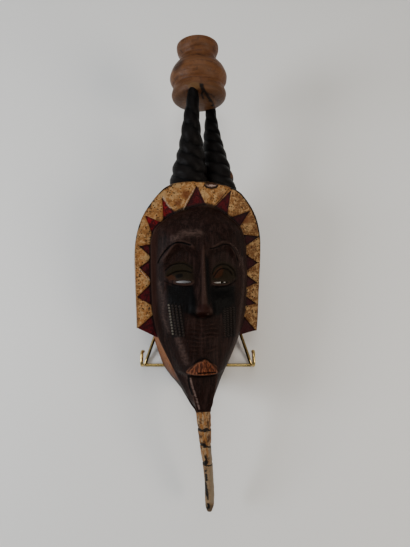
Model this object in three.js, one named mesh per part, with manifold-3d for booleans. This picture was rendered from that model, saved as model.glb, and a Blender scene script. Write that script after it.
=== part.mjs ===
// A carved and painted wooden mask with two ribbed horns and a spool on top,
// lying on a low stand bent from brass wire.
//
// Lengths are millimetres. Every shape is drawn in the mask's own frame:
// x to the viewer's right, y away from the viewer through the wood, z from the
// beard towards the horns. The last group lays that frame down, so that the
// exported group stands on z = 0 with x and y centred.

import * as THREE from 'three';
import { mergeVertices } from 'three/addons/utils/BufferGeometryUtils.js';
import Module from 'manifold-3d';

const wasm = await Module();
wasm.setup();

// Main sizes.

// Angle of the stand's front frame above the table.
const RECLINE_DEG = 12.5;
// The face is carved turned a little to the right of the plane of its rim.
const FACE_TURN_DEG = 8;
// Depth of the rim plane behind the middle of the flange's front.
const RIM_DEPTH = 46;
// Sideways place of the mask on the stand.
const MASK_X = 1.5;

const FLANGE_THICKNESS = 7;
const WALL = 9;
const TOUCH_GAP = 0.3;

// Half widths of the face where it leaves the flange: [z, left, right].
const FACE_EDGE = [
  [-119.2, -5.5, 9.6],
  [-116, -7.6, 11.2],
  [-109, -11.2, 13.9],
  [-100, -16.0, 17.6],
  [-92, -20.3, 20.9],
  [-81, -25.6, 26.6],
  [-69, -31.5, 32.0],
  [-54.5, -37.6, 37.6],
  [-31, -42.0, 42.8],
  [0, -43.4, 44.2],
  [25, -43.6, 43.4],
  [37, -42.0, 41.2],
  [45.5, -36.0, 36.6],
  [52, -27.5, 28.6],
  [57, -17.0, 21.5],
  [60.2, -6.5, 15.0],
  [61.6, 0.5, 9.0],
];

// Half widths of the hollow body at its rim: [z, left, right].
const RIM_EDGE = [
  [-119.2, -5.5, 9.6],
  [-116, -8.4, 11.8],
  [-112, -11.6, 14.2],
  [-109, -15.0, 16.8],
  [-106, -20.5, 20.6],
  [-100, -26.5, 26.0],
  [-92, -31.0, 30.4],
  [-81, -35.2, 34.4],
  [-69, -39.0, 37.6],
  [-54.5, -42.4, 40.6],
  [-31, -44.4, 43.6],
  [0, -45.0, 44.6],
  [25, -44.8, 44.0],
  [37, -42.6, 41.8],
  [45.5, -38.0, 37.6],
  [52, -31.0, 31.6],
  [57, -23.0, 25.4],
  [60.2, -15.0, 18.6],
  [61.6, -10.5, 14.0],
];

// How far forward the middle of the face stands: [z, depth].
const FACE_PROFILE = [
  [-119.2, 24],
  [-112, 26.5],
  [-98, 28.5],
  [-87, 27.5],
  [-70, 25],
  [-50, 23.5],
  [-25, 22],
  [0, 21.5],
  [14, 22.5],
  [30, 23.5],
  [44, 20],
  [52, 15],
  [57, 10.5],
  [60.2, 6.5],
  [61.6, 3.5],
];

// How far back the body reaches where it ends before the rim plane: [z, depth].
const BODY_BACK = [
  [-119.2, -12],
  [-116.6, -9],
  [-114, -3],
  [-111, 7],
  [-109, 20],
  [-107.5, 34],
  [-106, 46],
  [-105, 60],
  [49, 60],
  [53, 52],
  [57, 44.5],
  [60, 36],
  [61.6, 27],
];

// Nose, eyes, lip, chin.
const NOSE_TOP = 27;
const NOSE_TIP = -32;
const NOSE_HEIGHT = 12.5;
const NOSE_X = 0.6;
const EYE_X = 15.8;
const EYE_Z = -6;
const EYE_MID_X = 0.9;
const SOCKET_DEPTH = 3.6;
const LID_HEIGHT = 3.0;
const SLIT_LENGTH = 12.8;
const SLIT_HEIGHT = 2.2;
const BROW_HEIGHT = 1.3;
const LIP_X = 0.6;
const LIP_BOTTOM = -85;
const LIP_TOP = -73;
const LIP_HALF_WIDTH = 13;
const LIP_HEIGHT = 4.2;
const CHIN_FACET_TOP = 12.8;
const CHIN_FACET_BOTTOM = 6.6;

// Outline of the flange, from the left corner over the top to the right one.
const FLANGE_OUTLINE = [
  [-56.0, -48.6],
  [-56.6, -30],
  [-57.4, -8],
  [-58.0, 14.7],
  [-56.6, 32],
  [-52.4, 47.4],
  [-45.6, 60.2],
  [-34.6, 74.2],
  [-26.2, 80.3],
  [-14.5, 83.2],
  [2.5, 84.6],
  [12.1, 84.0],
  [21.4, 82.2],
  [35.5, 77.3],
  [43.6, 70.0],
  [52.3, 56.3],
  [57.2, 39.6],
  [58.2, 20.0],
  [56.9, -7.9],
  [55.4, -43.3],
  [54.5, -53.0],
];
const FLANGE_NECK_LEFT = [-38.6, -57.4];
const FLANGE_NECK_RIGHT = [37.4, -57.2];

// An old chip on the flange's front edge at the top.
const CHIP_AT = [11.0, 0, 82.4];
const CHIP_SIZE = [6.2, 3.0, 3.2];

// Horns: [x, y, z, radius] from the base to the tip.
const LEFT_HORN = [
  [-6.4, 25, 51, 14.6],
  [-6.9, 24.6, 64, 18.0],
  [-6.8, 23, 78, 18.6],
  [-6.6, 20, 94, 17.2],
  [-5.6, 15, 116, 12.4],
  [-6.2, 9, 132, 9.3],
  [-6.0, 6, 146, 7.3],
  [-5.2, 4.6, 158, 5.9],
  [-4.5, 6, 172, 4.6],
];
const RIGHT_HORN = [
  [18.6, 25, 51, 12.0],
  [23.4, 25.4, 63, 16.0],
  [24.0, 26, 76, 16.6],
  [22.2, 28, 92, 15.4],
  [20.6, 32, 110, 12.9],
  [19.4, 36, 124, 10.9],
  [18.4, 39.6, 140, 8.6],
  [17.9, 42.3, 157, 6.2],
  [17.1, 41.5, 172, 4.6],
];
const HORN_RIB_PITCH = 12.4;
const HORN_RIB_DEPTH = 0.12;
const HORN_RIB_STARTS = 2;
const HORN_SIDES = 12;

// Spool: [height above its underside, radius].
const SPOOL_PROFILE = [
  [0.0, 0],
  [0.7, 14],
  [2.3, 21.2],
  [5.0, 25.4],
  [8.8, 26.9],
  [12.2, 26.5],
  [15.4, 25.2],
  [17.0, 24.8],
  [18.6, 25.8],
  [22.0, 27.6],
  [26.2, 28.2],
  [31.0, 26.9],
  [36.0, 23.8],
  [40.6, 19.7],
  [43.2, 17.8],
  [46.0, 17.6],
  [49.6, 19.6],
  [53.2, 20.6],
  [56.4, 20.4],
  [57.8, 19.0],
  [57.8, 0],
];
const SPOOL_AT = [3.5, 25, 163.9];
const SPOOL_LEAN_DEG = -1.8;
const SPOOL_SIDES = 24;

// Beard rod: [x, y, z, half width, half depth] from the chin to the tip.
const BEARD = [
  [1.6, -15.8, -112, 6.0, 4.6],
  [1.9, -16.4, -121.5, 6.3, 4.6],
  [2.9, -16.2, -134, 5.9, 5.2],
  [3.9, -15.4, -150, 4.9, 4.9],
  [5.9, -14, -166.4, 4.4, 4.5],
  [7.7, -11, -183, 4.0, 4.0],
  [8.6, -8.5, -196, 4.2, 3.8],
  [8.8, -7, -207, 3.8, 3.4],
  [8.8, -6.4, -213, 2.2, 2.2],
];
const BEARD_SIDES = 10;

// Stand, in the plane of its front frame: wire, corners and apex.
const WIRE = 3.2;
const STAND_HALF_WIDTH = 55;
const STAND_BAR_Z = -94.6;
const STAND_APEX_Z = 62;
const STAND_DEPTH = RIM_DEPTH + TOUCH_GAP + WIRE / 2;
const CORNER_RADIUS = 4.5;
const HOOK_RISE = 22;
const HOOK_REACH = 13.6;
const HOOK_DROP = 10;
const FOOT_BACK = 28;
const FOOT_HALF_WIDTH = 30;
const WIRE_SIDES = 8;

// Helpers.

const rad = THREE.MathUtils.degToRad;
const clamp = THREE.MathUtils.clamp;

// Smooth curve through the rows of a table, read at z.
function along(table, z, column) {
  const last = table.length - 1;
  if (z <= table[0][0]) return table[0][column];
  if (z >= table[last][0]) return table[last][column];
  let i = 0;
  while (table[i + 1][0] < z) i += 1;
  const span = table[i + 1][0] - table[i][0];
  const t = (z - table[i][0]) / span;
  const slopeAt = (k) => {
    if (k === 0 || k === last) return 0;
    const before = (table[k][column] - table[k - 1][column]) / (table[k][0] - table[k - 1][0]);
    const after = (table[k + 1][column] - table[k][column]) / (table[k + 1][0] - table[k][0]);
    if (before * after <= 0) return 0;
    return (2 * before * after) / (before + after);
  };
  const from = i === 0 ? (table[1][column] - table[0][column]) / span : slopeAt(i);
  const to = i + 1 === last ? (table[last][column] - table[i][column]) / span : slopeAt(i + 1);
  const t2 = t * t;
  const t3 = t2 * t;
  return (
    (2 * t3 - 3 * t2 + 1) * table[i][column] +
    (t3 - 2 * t2 + t) * span * from +
    (3 * t2 - 2 * t3) * table[i + 1][column] +
    (t3 - t2) * span * to
  );
}

function smooth(from, to, value) {
  const t = clamp((value - from) / (to - from), 0, 1);
  return t * t * (3 - 2 * t);
}

function bump(dx, dz) {
  return Math.exp(-(dx * dx + dz * dz));
}

// Closed body through rings that all have the same number of points.
function loft(rings) {
  const count = rings[0].length;
  const positions = [];
  const indices = [];
  for (const ring of rings) {
    for (const point of ring) positions.push(point.x, point.y, point.z);
  }
  for (let r = 0; r < rings.length - 1; r += 1) {
    for (let i = 0; i < count; i += 1) {
      const a = r * count + i;
      const b = r * count + ((i + 1) % count);
      indices.push(a, b, b + count, a, b + count, a + count);
    }
  }
  for (const end of [0, rings.length - 1]) {
    const middle = new THREE.Vector3();
    for (const point of rings[end]) middle.add(point);
    middle.divideScalar(count);
    const hub = positions.length / 3;
    positions.push(middle.x, middle.y, middle.z);
    for (let i = 0; i < count; i += 1) {
      const a = end * count + i;
      const b = end * count + ((i + 1) % count);
      if (end === 0) indices.push(hub, b, a);
      else indices.push(hub, a, b);
    }
  }
  const geometry = new THREE.BufferGeometry();
  geometry.setAttribute('position', new THREE.Float32BufferAttribute(positions, 3));
  geometry.setIndex(indices);
  return geometry;
}

function signedVolume(geometry) {
  const position = geometry.getAttribute('position');
  const index = geometry.getIndex();
  const corners = [new THREE.Vector3(), new THREE.Vector3(), new THREE.Vector3()];
  let total = 0;
  for (let i = 0; i < index.count; i += 3) {
    corners.forEach((corner, k) => corner.fromBufferAttribute(position, index.getX(i + k)));
    total += corners[0].dot(corners[1].clone().cross(corners[2]));
  }
  return total / 6;
}

// Mesh with merged corners as a solid that can be joined and cut.
function solid(geometry) {
  const bare = geometry.clone();
  bare.deleteAttribute('normal');
  bare.deleteAttribute('uv');
  const merged = mergeVertices(bare, 1e-4);
  const index = Array.from(merged.getIndex().array);
  if (signedVolume(merged) < 0) {
    for (let i = 0; i < index.length; i += 3) {
      [index[i + 1], index[i + 2]] = [index[i + 2], index[i + 1]];
    }
  }
  const mesh = new wasm.Mesh({
    numProp: 3,
    vertProperties: new Float32Array(merged.getAttribute('position').array),
    triVerts: new Uint32Array(index),
  });
  mesh.merge();
  return new wasm.Manifold(mesh);
}

function geometryOf(body) {
  const mesh = body.getMesh();
  const geometry = new THREE.BufferGeometry();
  geometry.setAttribute('position', new THREE.BufferAttribute(mesh.vertProperties, 3));
  geometry.setIndex(new THREE.BufferAttribute(mesh.triVerts, 1));
  geometry.computeVertexNormals();
  return geometry;
}

// Surface of the face.

const turn = rad(FACE_TURN_DEG);

// Depth of the rim plane, seen from the turned face.
function rimDepth(x) {
  return RIM_DEPTH / Math.cos(turn) - x * Math.tan(turn);
}

// Bare bowl of the face, before nose, eyes, lip and chin.
function bowlDepth(x, z) {
  const left = along(FACE_EDGE, z, 1);
  const right = along(FACE_EDGE, z, 2);
  const middle = (left + right) / 2;
  const u = clamp(Math.abs(x - middle) / ((right - left) / 2), 0, 1);
  const height = along(FACE_PROFILE, z, 1);
  const round = Math.pow(1 - Math.pow(u, 2.3), 0.72);
  const edge = 2.2 * smooth(62, 54, z);
  return -(edge + (height - edge) * round);
}

function noseHeight(x, z) {
  const run = clamp((NOSE_TOP - z) / (NOSE_TOP - NOSE_TIP), 0, 1);
  const end = smooth(NOSE_TIP - 5.5, NOSE_TIP + 0.5, z);
  const ridgeWidth = 3.2 + 3.2 * run;
  const ridge = NOSE_HEIGHT * Math.pow(run, 0.75) * end;
  const dx = (x - NOSE_X) / ridgeWidth;
  const wing = 3.6 * bump((Math.abs(x - NOSE_X) - 6.2) / 3, (z - NOSE_TIP - 1) / 4.5);
  return ridge * Math.exp(-Math.pow(Math.abs(dx), 2.2)) + wing;
}

function browLine(x) {
  const t = Math.abs(x - EYE_MID_X);
  return 19.5 + 7.0 * Math.exp(-Math.pow((t - 19) / 10, 2)) - 9 * smooth(23, 36, t);
}

function eyeHeight(x, z) {
  const t = Math.abs(x - EYE_MID_X);
  const across = (t - EYE_X - 1) / 14.5;
  const belowBrow = smooth(browLine(x) + 0.8, browLine(x) - 4.5, z);
  const low = smooth(-24, -9, z);
  const socket = -SOCKET_DEPTH * Math.exp(-Math.pow(Math.abs(across), 3)) * belowBrow * low;
  const lid = LID_HEIGHT * bump((t - EYE_X) / 9, (z - EYE_Z) / 6.5);
  const near = smooth(5, 9, t) * smooth(37, 31, t);
  const brow = BROW_HEIGHT * Math.exp(-Math.pow((z - browLine(x) - 1.2) / 2.2, 2)) * near;
  return socket + lid + brow;
}

function lipHeight(x, z) {
  const t = Math.abs(x - LIP_X) / LIP_HALF_WIDTH;
  if (t > 1.15) return 0;
  const bow = LIP_BOTTOM + (LIP_TOP - LIP_BOTTOM) * Math.max(0, 1 - Math.pow(t, 1.7));
  const inside = smooth(bow + 1.2, bow - 1.6, z) * smooth(LIP_BOTTOM - 1.6, LIP_BOTTOM + 0.2, z);
  return LIP_HEIGHT * inside * (1 - 0.55 * t * t);
}

// The chin is cut flat in front between two edges that run down to the beard.
function chinDepth(x, z, depth) {
  const run = clamp((z + 88) / -28, 0, 1);
  const half = CHIN_FACET_TOP + (CHIN_FACET_BOTTOM - CHIN_FACET_TOP) * run;
  const here = smooth(-84, -88.5, z);
  const middle = LIP_X + 0.8 * run;
  const t = Math.abs(x - middle);
  const flat = -along(FACE_PROFILE, z, 1) + 3.0 + 0.05 * t;
  const side = flat + Math.max(0, t - half) * 1.9;
  const cut = t < half ? flat : Math.max(depth, Math.min(side, 0));
  return depth + (cut - depth) * here;
}

function faceDepth(x, z) {
  let depth = bowlDepth(x, z);
  depth = chinDepth(x, z, depth);
  return depth - noseHeight(x, z) - eyeHeight(x, z) - lipHeight(x, z);
}

// Body of the mask.

// Levels are closest where the eyes, the nose's end and the lip are.
function faceLevels() {
  const levels = [];
  const stretches = [
    [-119.2, -104, 8],
    [-104, -90, 3],
    [-90, -82, 5],
    [-82, -70, 4],
    [-70, -42, 4],
    [-42, -28, 6],
    [-28, 30, 15],
    [30, 52, 4],
    [52, 61.6, 5],
  ];
  for (const [from, to, steps] of stretches) {
    for (let i = 0; i < steps; i += 1) levels.push(from + ((to - from) * i) / steps);
  }
  levels.push(61.6);
  return levels;
}

function bodyRing(z, frontSteps, sideSteps) {
  const left = along(FACE_EDGE, z, 1);
  const right = along(FACE_EDGE, z, 2);
  const rimLeft = along(RIM_EDGE, z, 1);
  const rimRight = along(RIM_EDGE, z, 2);
  const backLimit = along(BODY_BACK, z, 1);
  const ring = [];
  for (let i = 0; i <= frontSteps; i += 1) {
    const u = (2 * i) / frontSteps - 1;
    const spread = 0.62 * u + 0.38 * Math.sin((u * Math.PI) / 2);
    const x = (left + right) / 2 + (spread * (right - left)) / 2;
    ring.push(new THREE.Vector3(x, faceDepth(x, z), z));
  }
  const rightBack = Math.min(rimDepth(rimRight), backLimit);
  const leftBack = Math.min(rimDepth(rimLeft), backLimit);
  const rightFront = ring[frontSteps].y;
  const leftFront = ring[0].y;
  for (let i = 1; i <= sideSteps; i += 1) {
    const t = i / sideSteps;
    const x = right + (rimRight - right) * Math.pow(t, 0.7);
    ring.push(new THREE.Vector3(x, rightFront + (rightBack - rightFront) * t, z));
  }
  for (let i = 0; i < sideSteps; i += 1) {
    const t = 1 - i / sideSteps;
    const x = left + (rimLeft - left) * Math.pow(t, 0.7);
    ring.push(new THREE.Vector3(x, leftFront + (leftBack - leftFront) * t, z));
  }
  return ring;
}

function bodySolid() {
  const rings = faceLevels().map((z) => bodyRing(z, 22, 3));
  return solid(loft(rings));
}

// Hollow behind the face, open through the rim.
function cavityRing(z, steps) {
  const left = along(RIM_EDGE, z, 1) + WALL;
  const right = along(RIM_EDGE, z, 2) - WALL;
  const middle = (left + right) / 2;
  const ring = [];
  for (let i = 0; i <= steps; i += 1) {
    const u = (2 * i) / steps - 1;
    const x = middle + (u * (right - left)) / 2;
    const round = Math.pow(1 - Math.pow(Math.abs(u), 2.6), 0.5);
    const front = -(along(FACE_PROFILE, z, 1) - WALL - 2.5);
    const shoulder = 22;
    ring.push(new THREE.Vector3(x, shoulder + (front - shoulder) * round, z));
  }
  ring.push(new THREE.Vector3(right + 1.5, rimDepth(right) + 8, z));
  ring.push(new THREE.Vector3(left - 1.5, rimDepth(left) + 8, z));
  return ring;
}

function cavitySolid() {
  const bottom = -93;
  const top = 47;
  const rings = [];
  const steps = 15;
  for (let i = 0; i <= steps; i += 1) {
    const t = i / steps;
    const z = bottom + (top - bottom) * t;
    const ring = cavityRing(z, 14);
    // Both ends of the hollow are rounded off towards the back.
    const end = Math.min(t, 1 - t) * (top - bottom);
    const fade = Math.sqrt(1 - Math.pow(1 - clamp(end / 26, 0, 1), 2));
    const middle = (ring[0].x + ring[14].x) / 2;
    for (let k = 0; k <= 14; k += 1) {
      ring[k].x = middle + (ring[k].x - middle) * (0.55 + 0.45 * fade);
      ring[k].y = 34 + (ring[k].y - 34) * (0.12 + 0.88 * fade);
    }
    for (let k = 15; k <= 16; k += 1) {
      ring[k].x = middle + (ring[k].x - middle) * (0.6 + 0.4 * fade);
    }
    rings.push(ring);
  }
  return solid(loft(rings));
}

function flangeSolid() {
  const shape = new THREE.Shape();
  const curve = new THREE.CatmullRomCurve3(
    FLANGE_OUTLINE.map(([x, z]) => new THREE.Vector3(x, z, 0)),
    false,
    'centripetal',
  );
  const points = curve.getPoints(56);
  shape.moveTo(FLANGE_NECK_LEFT[0], FLANGE_NECK_LEFT[1]);
  for (const point of points) shape.lineTo(point.x, point.y);
  shape.lineTo(FLANGE_NECK_RIGHT[0], FLANGE_NECK_RIGHT[1]);
  shape.closePath();
  const plate = new THREE.ExtrudeGeometry(shape, {
    depth: FLANGE_THICKNESS - 2,
    bevelEnabled: true,
    bevelThickness: 1,
    bevelSize: 0.9,
    bevelOffset: -0.9,
    bevelSegments: 1,
  });
  plate.rotateX(Math.PI / 2);
  plate.translate(0, FLANGE_THICKNESS - 1, 0);
  const chip = new THREE.SphereGeometry(1, 10, 6);
  chip.scale(CHIP_SIZE[0], CHIP_SIZE[1], CHIP_SIZE[2]);
  chip.translate(CHIP_AT[0], CHIP_AT[1], CHIP_AT[2]);
  return solid(plate).subtract(solid(chip));
}

function slitSolid(side) {
  const shape = new THREE.Shape();
  const half = SLIT_LENGTH / 2;
  shape.moveTo(-half, -0.2);
  shape.quadraticCurveTo(0, SLIT_HEIGHT + 0.6, half, -0.2);
  shape.quadraticCurveTo(0, -SLIT_HEIGHT - 0.6, -half, -0.2);
  const cutter = new THREE.ExtrudeGeometry(shape, { depth: 60, bevelEnabled: false, curveSegments: 5 });
  cutter.rotateX(Math.PI / 2);
  cutter.translate(EYE_MID_X + side * EYE_X, 20, EYE_Z - 1.2);
  return solid(cutter);
}

// Horns, spool and beard.

function hornSolid(stations, handed) {
  const points = stations.map(([x, y, z]) => new THREE.Vector3(x, y, z));
  const curve = new THREE.CatmullRomCurve3(points, false, 'centripetal');
  const length = curve.getLength();
  const steps = Math.round((length / HORN_RIB_PITCH) * 4);
  const rings = [];
  for (let i = 0; i <= steps; i += 1) {
    const t = i / steps;
    const centre = curve.getPointAt(t);
    const tangent = curve.getTangentAt(t);
    const across = new THREE.Vector3(1, 0, 0).addScaledVector(tangent, -tangent.x).normalize();
    const depth = new THREE.Vector3().crossVectors(tangent, across);
    const radius = along(
      stations.map((station) => [station[2], station[3]]),
      centre.z,
      1,
    );
    const ring = [];
    for (let k = 0; k < HORN_SIDES; k += 1) {
      const angle = (2 * Math.PI * k) / HORN_SIDES;
      // The ribs wind around the horn as a screw with two starts.
      const around = (handed * HORN_RIB_STARTS * angle) / (2 * Math.PI);
      const turns = (t * length) / HORN_RIB_PITCH + around;
      const phase = turns - Math.floor(turns);
      const rib = 1 - HORN_RIB_DEPTH * Math.pow(Math.abs(2 * phase - 1), 1.6);
      const r = radius * rib * (1 + HORN_RIB_DEPTH * 0.35);
      ring.push(
        centre
          .clone()
          .addScaledVector(across, r * Math.cos(angle))
          .addScaledVector(depth, r * Math.sin(angle)),
      );
    }
    rings.push(ring);
  }
  return solid(loft(rings));
}

function spoolSolid() {
  const profile = SPOOL_PROFILE.map(([height, radius]) => new THREE.Vector2(radius, height));
  const spool = new THREE.LatheGeometry(profile, SPOOL_SIDES);
  spool.rotateX(Math.PI / 2);
  spool.rotateY(rad(SPOOL_LEAN_DEG));
  spool.translate(SPOOL_AT[0], SPOOL_AT[1], SPOOL_AT[2]);
  return solid(spool);
}

function beardSolid() {
  const rings = BEARD.map(([x, y, z, halfWidth, halfDepth]) => {
    const ring = [];
    for (let k = 0; k < BEARD_SIDES; k += 1) {
      const angle = (2 * Math.PI * (k + 0.5)) / BEARD_SIDES;
      ring.push(new THREE.Vector3(x + halfWidth * Math.cos(angle), y + halfDepth * Math.sin(angle), z));
    }
    return ring;
  });
  return solid(loft(rings));
}

function maskGeometry() {
  let body = bodySolid().add(flangeSolid());
  body = body.subtract(cavitySolid());
  body = body.subtract(slitSolid(-1)).subtract(slitSolid(1));
  body = body.add(hornSolid(LEFT_HORN, 1)).add(hornSolid(RIGHT_HORN, 1));
  body = body.add(spoolSolid()).add(beardSolid());
  return geometryOf(body);
}

// Stand.

// Wire through points, with its bends rounded.
function wirePath(points, radius) {
  const path = new THREE.CurvePath();
  let from = points[0];
  for (let i = 1; i < points.length - 1; i += 1) {
    const corner = points[i];
    const before = corner.clone().sub(points[i - 1]).normalize();
    const after = points[i + 1].clone().sub(corner).normalize();
    const start = corner.clone().addScaledVector(before, -radius);
    const end = corner.clone().addScaledVector(after, radius);
    path.add(new THREE.LineCurve3(from, start));
    path.add(new THREE.QuadraticBezierCurve3(start, corner, end));
    from = end;
  }
  path.add(new THREE.LineCurve3(from, points[points.length - 1]));
  return path;
}

// Round wire as rings along the path, closed at both ends.
function wireSolid(points, radius) {
  const path = wirePath(points, radius);
  const samples = [];
  for (const curve of path.curves) {
    const steps = curve.isLineCurve3 ? 1 : 4;
    for (let i = samples.length === 0 ? 0 : 1; i <= steps; i += 1) {
      samples.push([curve.getPoint(i / steps), curve.getTangent(i / steps)]);
    }
  }
  const rings = [];
  let side = new THREE.Vector3(0.31, 0.87, 0.38);
  for (const [centre, tangent] of samples) {
    side = side.clone().addScaledVector(tangent, -side.dot(tangent)).normalize();
    const other = new THREE.Vector3().crossVectors(tangent, side);
    const ring = [];
    for (let k = 0; k < WIRE_SIDES; k += 1) {
      const angle = (2 * Math.PI * k) / WIRE_SIDES;
      ring.push(
        centre
          .clone()
          .addScaledVector(side, (Math.cos(angle) * WIRE) / 2)
          .addScaledVector(other, (Math.sin(angle) * WIRE) / 2),
      );
    }
    rings.push(ring);
  }
  return solid(loft(rings));
}

function standGeometry() {
  const recline = rad(RECLINE_DEG);
  // Directions in the plane of the frame: up from the table and back along it.
  const up = new THREE.Vector3(0, -Math.cos(recline), Math.sin(recline));
  const back = new THREE.Vector3(0, Math.sin(recline), Math.cos(recline));
  const at = (x, z) => new THREE.Vector3(x, STAND_DEPTH, z);
  const apexHeight = (STAND_APEX_Z - STAND_BAR_Z) * Math.sin(recline);

  const apex = at(0, STAND_APEX_Z);
  const leftCorner = at(-STAND_HALF_WIDTH, STAND_BAR_Z);
  const rightCorner = at(STAND_HALF_WIDTH, STAND_BAR_Z);
  const frame = wireSolid([leftCorner, apex, rightCorner], 7);
  const bar = wireSolid([leftCorner, rightCorner], CORNER_RADIUS);
  let body = frame.add(bar);

  for (const corner of [leftCorner, rightCorner]) {
    const top = corner.clone().addScaledVector(up, HOOK_RISE);
    const reach = top.clone().addScaledVector(back, HOOK_REACH);
    const end = reach.clone().addScaledVector(up, -HOOK_DROP);
    body = body.add(wireSolid([corner, top, reach, end], 3.2));
  }

  // Rear prop: two wires from the apex down to a foot that lies on the table.
  const footCentre = apex.clone().addScaledVector(up, -apexHeight).addScaledVector(back, FOOT_BACK);
  const leftFoot = footCentre.clone().setX(-FOOT_HALF_WIDTH);
  const rightFoot = footCentre.clone().setX(FOOT_HALF_WIDTH);
  const shoulder = (side) => at(side * 4.5, STAND_APEX_Z - 9);
  body = body.add(wireSolid([shoulder(-1), leftFoot, rightFoot, shoulder(1)], CORNER_RADIUS));
  return geometryOf(body);
}

// Assembly.

const paintedWood = new THREE.MeshStandardMaterial({
  name: 'painted wood',
  color: '#4a2f22',
  roughness: 0.6,
  metalness: 0,
});
const brass = new THREE.MeshStandardMaterial({
  name: 'brass wire',
  color: '#a8935a',
  roughness: 0.3,
  metalness: 1,
});

const mask = new THREE.Mesh(maskGeometry(), paintedWood);
mask.name = 'mask';
mask.rotation.z = turn;
mask.position.x = MASK_X;

const stand = new THREE.Mesh(standGeometry(), brass);
stand.name = 'stand';

const reclined = new THREE.Group();
reclined.add(mask, stand);
reclined.rotation.x = -rad(90 - RECLINE_DEG);

const part = new THREE.Group();
part.add(reclined);
part.updateMatrixWorld(true);
const box = new THREE.Box3().setFromObject(part, true);
reclined.position.set(-(box.min.x + box.max.x) / 2, -(box.min.y + box.max.y) / 2, -box.min.z);

export default part;
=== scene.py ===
"""Looks of a carved and painted wooden mask that rests on a low stand bent from brass wire.

The tables hold millimetres in the mask's own frame: x to the viewer's right, y away from the viewer
through the wood, z from the beard towards the horns. Finished pieces are in metres in the row frame.
"""

import math

import bmesh
import bpy
import numpy as np
from bpy.props import FloatProperty, FloatVectorProperty, IntProperty, PointerProperty
from mathutils import Matrix, Vector


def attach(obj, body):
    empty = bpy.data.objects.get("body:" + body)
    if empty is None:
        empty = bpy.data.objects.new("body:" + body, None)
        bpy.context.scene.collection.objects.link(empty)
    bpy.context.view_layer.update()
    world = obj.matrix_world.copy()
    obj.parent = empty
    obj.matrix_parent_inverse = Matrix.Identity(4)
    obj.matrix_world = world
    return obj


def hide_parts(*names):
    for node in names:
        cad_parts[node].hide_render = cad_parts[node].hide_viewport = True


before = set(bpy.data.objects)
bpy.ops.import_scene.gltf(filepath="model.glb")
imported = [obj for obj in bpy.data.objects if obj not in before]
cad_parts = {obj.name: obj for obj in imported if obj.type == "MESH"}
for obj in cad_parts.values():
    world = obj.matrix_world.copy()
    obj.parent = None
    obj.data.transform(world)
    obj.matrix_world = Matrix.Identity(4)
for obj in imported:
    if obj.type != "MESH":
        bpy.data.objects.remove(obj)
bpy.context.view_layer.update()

bl_info = {
    "name": "Carved mask on a wire stand",
    "version": (1, 0, 0),
    "blender": (4, 5, 0),
    "location": "3D View > Sidebar > Mask",
    "description": "Carves and paints a wooden mask with horns, spool and beard, and bends its wire stand",
    "category": "Add Mesh",
}

MM = 0.001

# How the mask lies: the stand's front frame leans back, the face is turned on its rim, and the group is moved
# so that the middle of its box stands on the row's origin.
RECLINE = math.radians(12.5)
FACE_TURN = math.radians(8)
RIM_DEPTH = 46
MASK_SHIFT = (1.5, 0, 0)
GROUP_AT = (-1.0874, -8.2646, 68.8205)
PHOTO_SIZE = (410, 547)

# Half widths of the face where it leaves the flange: z, left, right.
FACE_EDGE = (
    (-119.2, -5.5, 9.6), (-116, -7.6, 11.2), (-109, -11.2, 13.9), (-100, -16.0, 17.6),
    (-92, -20.3, 20.9), (-81, -25.6, 26.6), (-69, -31.5, 32.0), (-54.5, -37.6, 37.6),
    (-31, -42.0, 42.8), (0, -43.4, 44.2), (25, -43.6, 43.4), (37, -41.4, 40.8),
    (45.5, -34.4, 35.4), (52, -25.4, 27.0), (57, -14.8, 19.6), (60.2, -5.0, 13.4),
    (61.6, 1.0, 8.4),
)
# Half widths of the hollow body at its rim: z, left, right.
RIM_EDGE = (
    (-119.2, -5.5, 9.6), (-116, -8.4, 11.8), (-112, -11.6, 14.2), (-109, -15.0, 16.8),
    (-106, -20.5, 20.6), (-100, -26.5, 26.0), (-92, -31.0, 30.4), (-81, -35.2, 34.4),
    (-69, -39.0, 37.6), (-54.5, -42.4, 40.6), (-31, -44.4, 43.6), (0, -45.0, 44.6),
    (25, -44.8, 44.0), (37, -42.6, 41.8), (45.5, -38.0, 37.6), (52, -31.0, 31.6),
    (57, -23.0, 25.4), (60.2, -15.0, 18.6), (61.6, -10.5, 14.0),
)
# How far forward the middle of the face stands, and how far back the body reaches.
FACE_PROFILE = (
    (-119.2, 24), (-112, 26.5), (-98, 28.5), (-87, 27.5), (-70, 25), (-50, 23.5), (-25, 22),
    (0, 21.5), (14, 22.5), (30, 23.5), (44, 19), (52, 13), (57, 8.2), (60.2, 4.8), (61.6, 2.8),
)
BODY_BACK = (
    (-119.2, -12), (-116.6, -9), (-114, -3), (-111, 7), (-109, 20), (-107.5, 34), (-106, 46),
    (-105, 60), (49, 60), (53, 52), (57, 44.5), (60, 36), (61.6, 27),
)
# Stretches of the face with the spacing that their carving needs: from, to, spacing.
FACE_LEVELS = (
    (-119.2, -92, 1.1), (-92, -70, 0.62), (-70, -54, 1.0), (-54, -22, 0.8), (-22, 30, 0.62),
    (30, 52, 1.0), (52, 61.6, 0.7),
)
WALL = 9
FACE_LINE = [(row[1], row[0]) for row in FACE_EDGE[8:]] + [(row[2], row[0]) for row in FACE_EDGE[:7:-1]]

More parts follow.
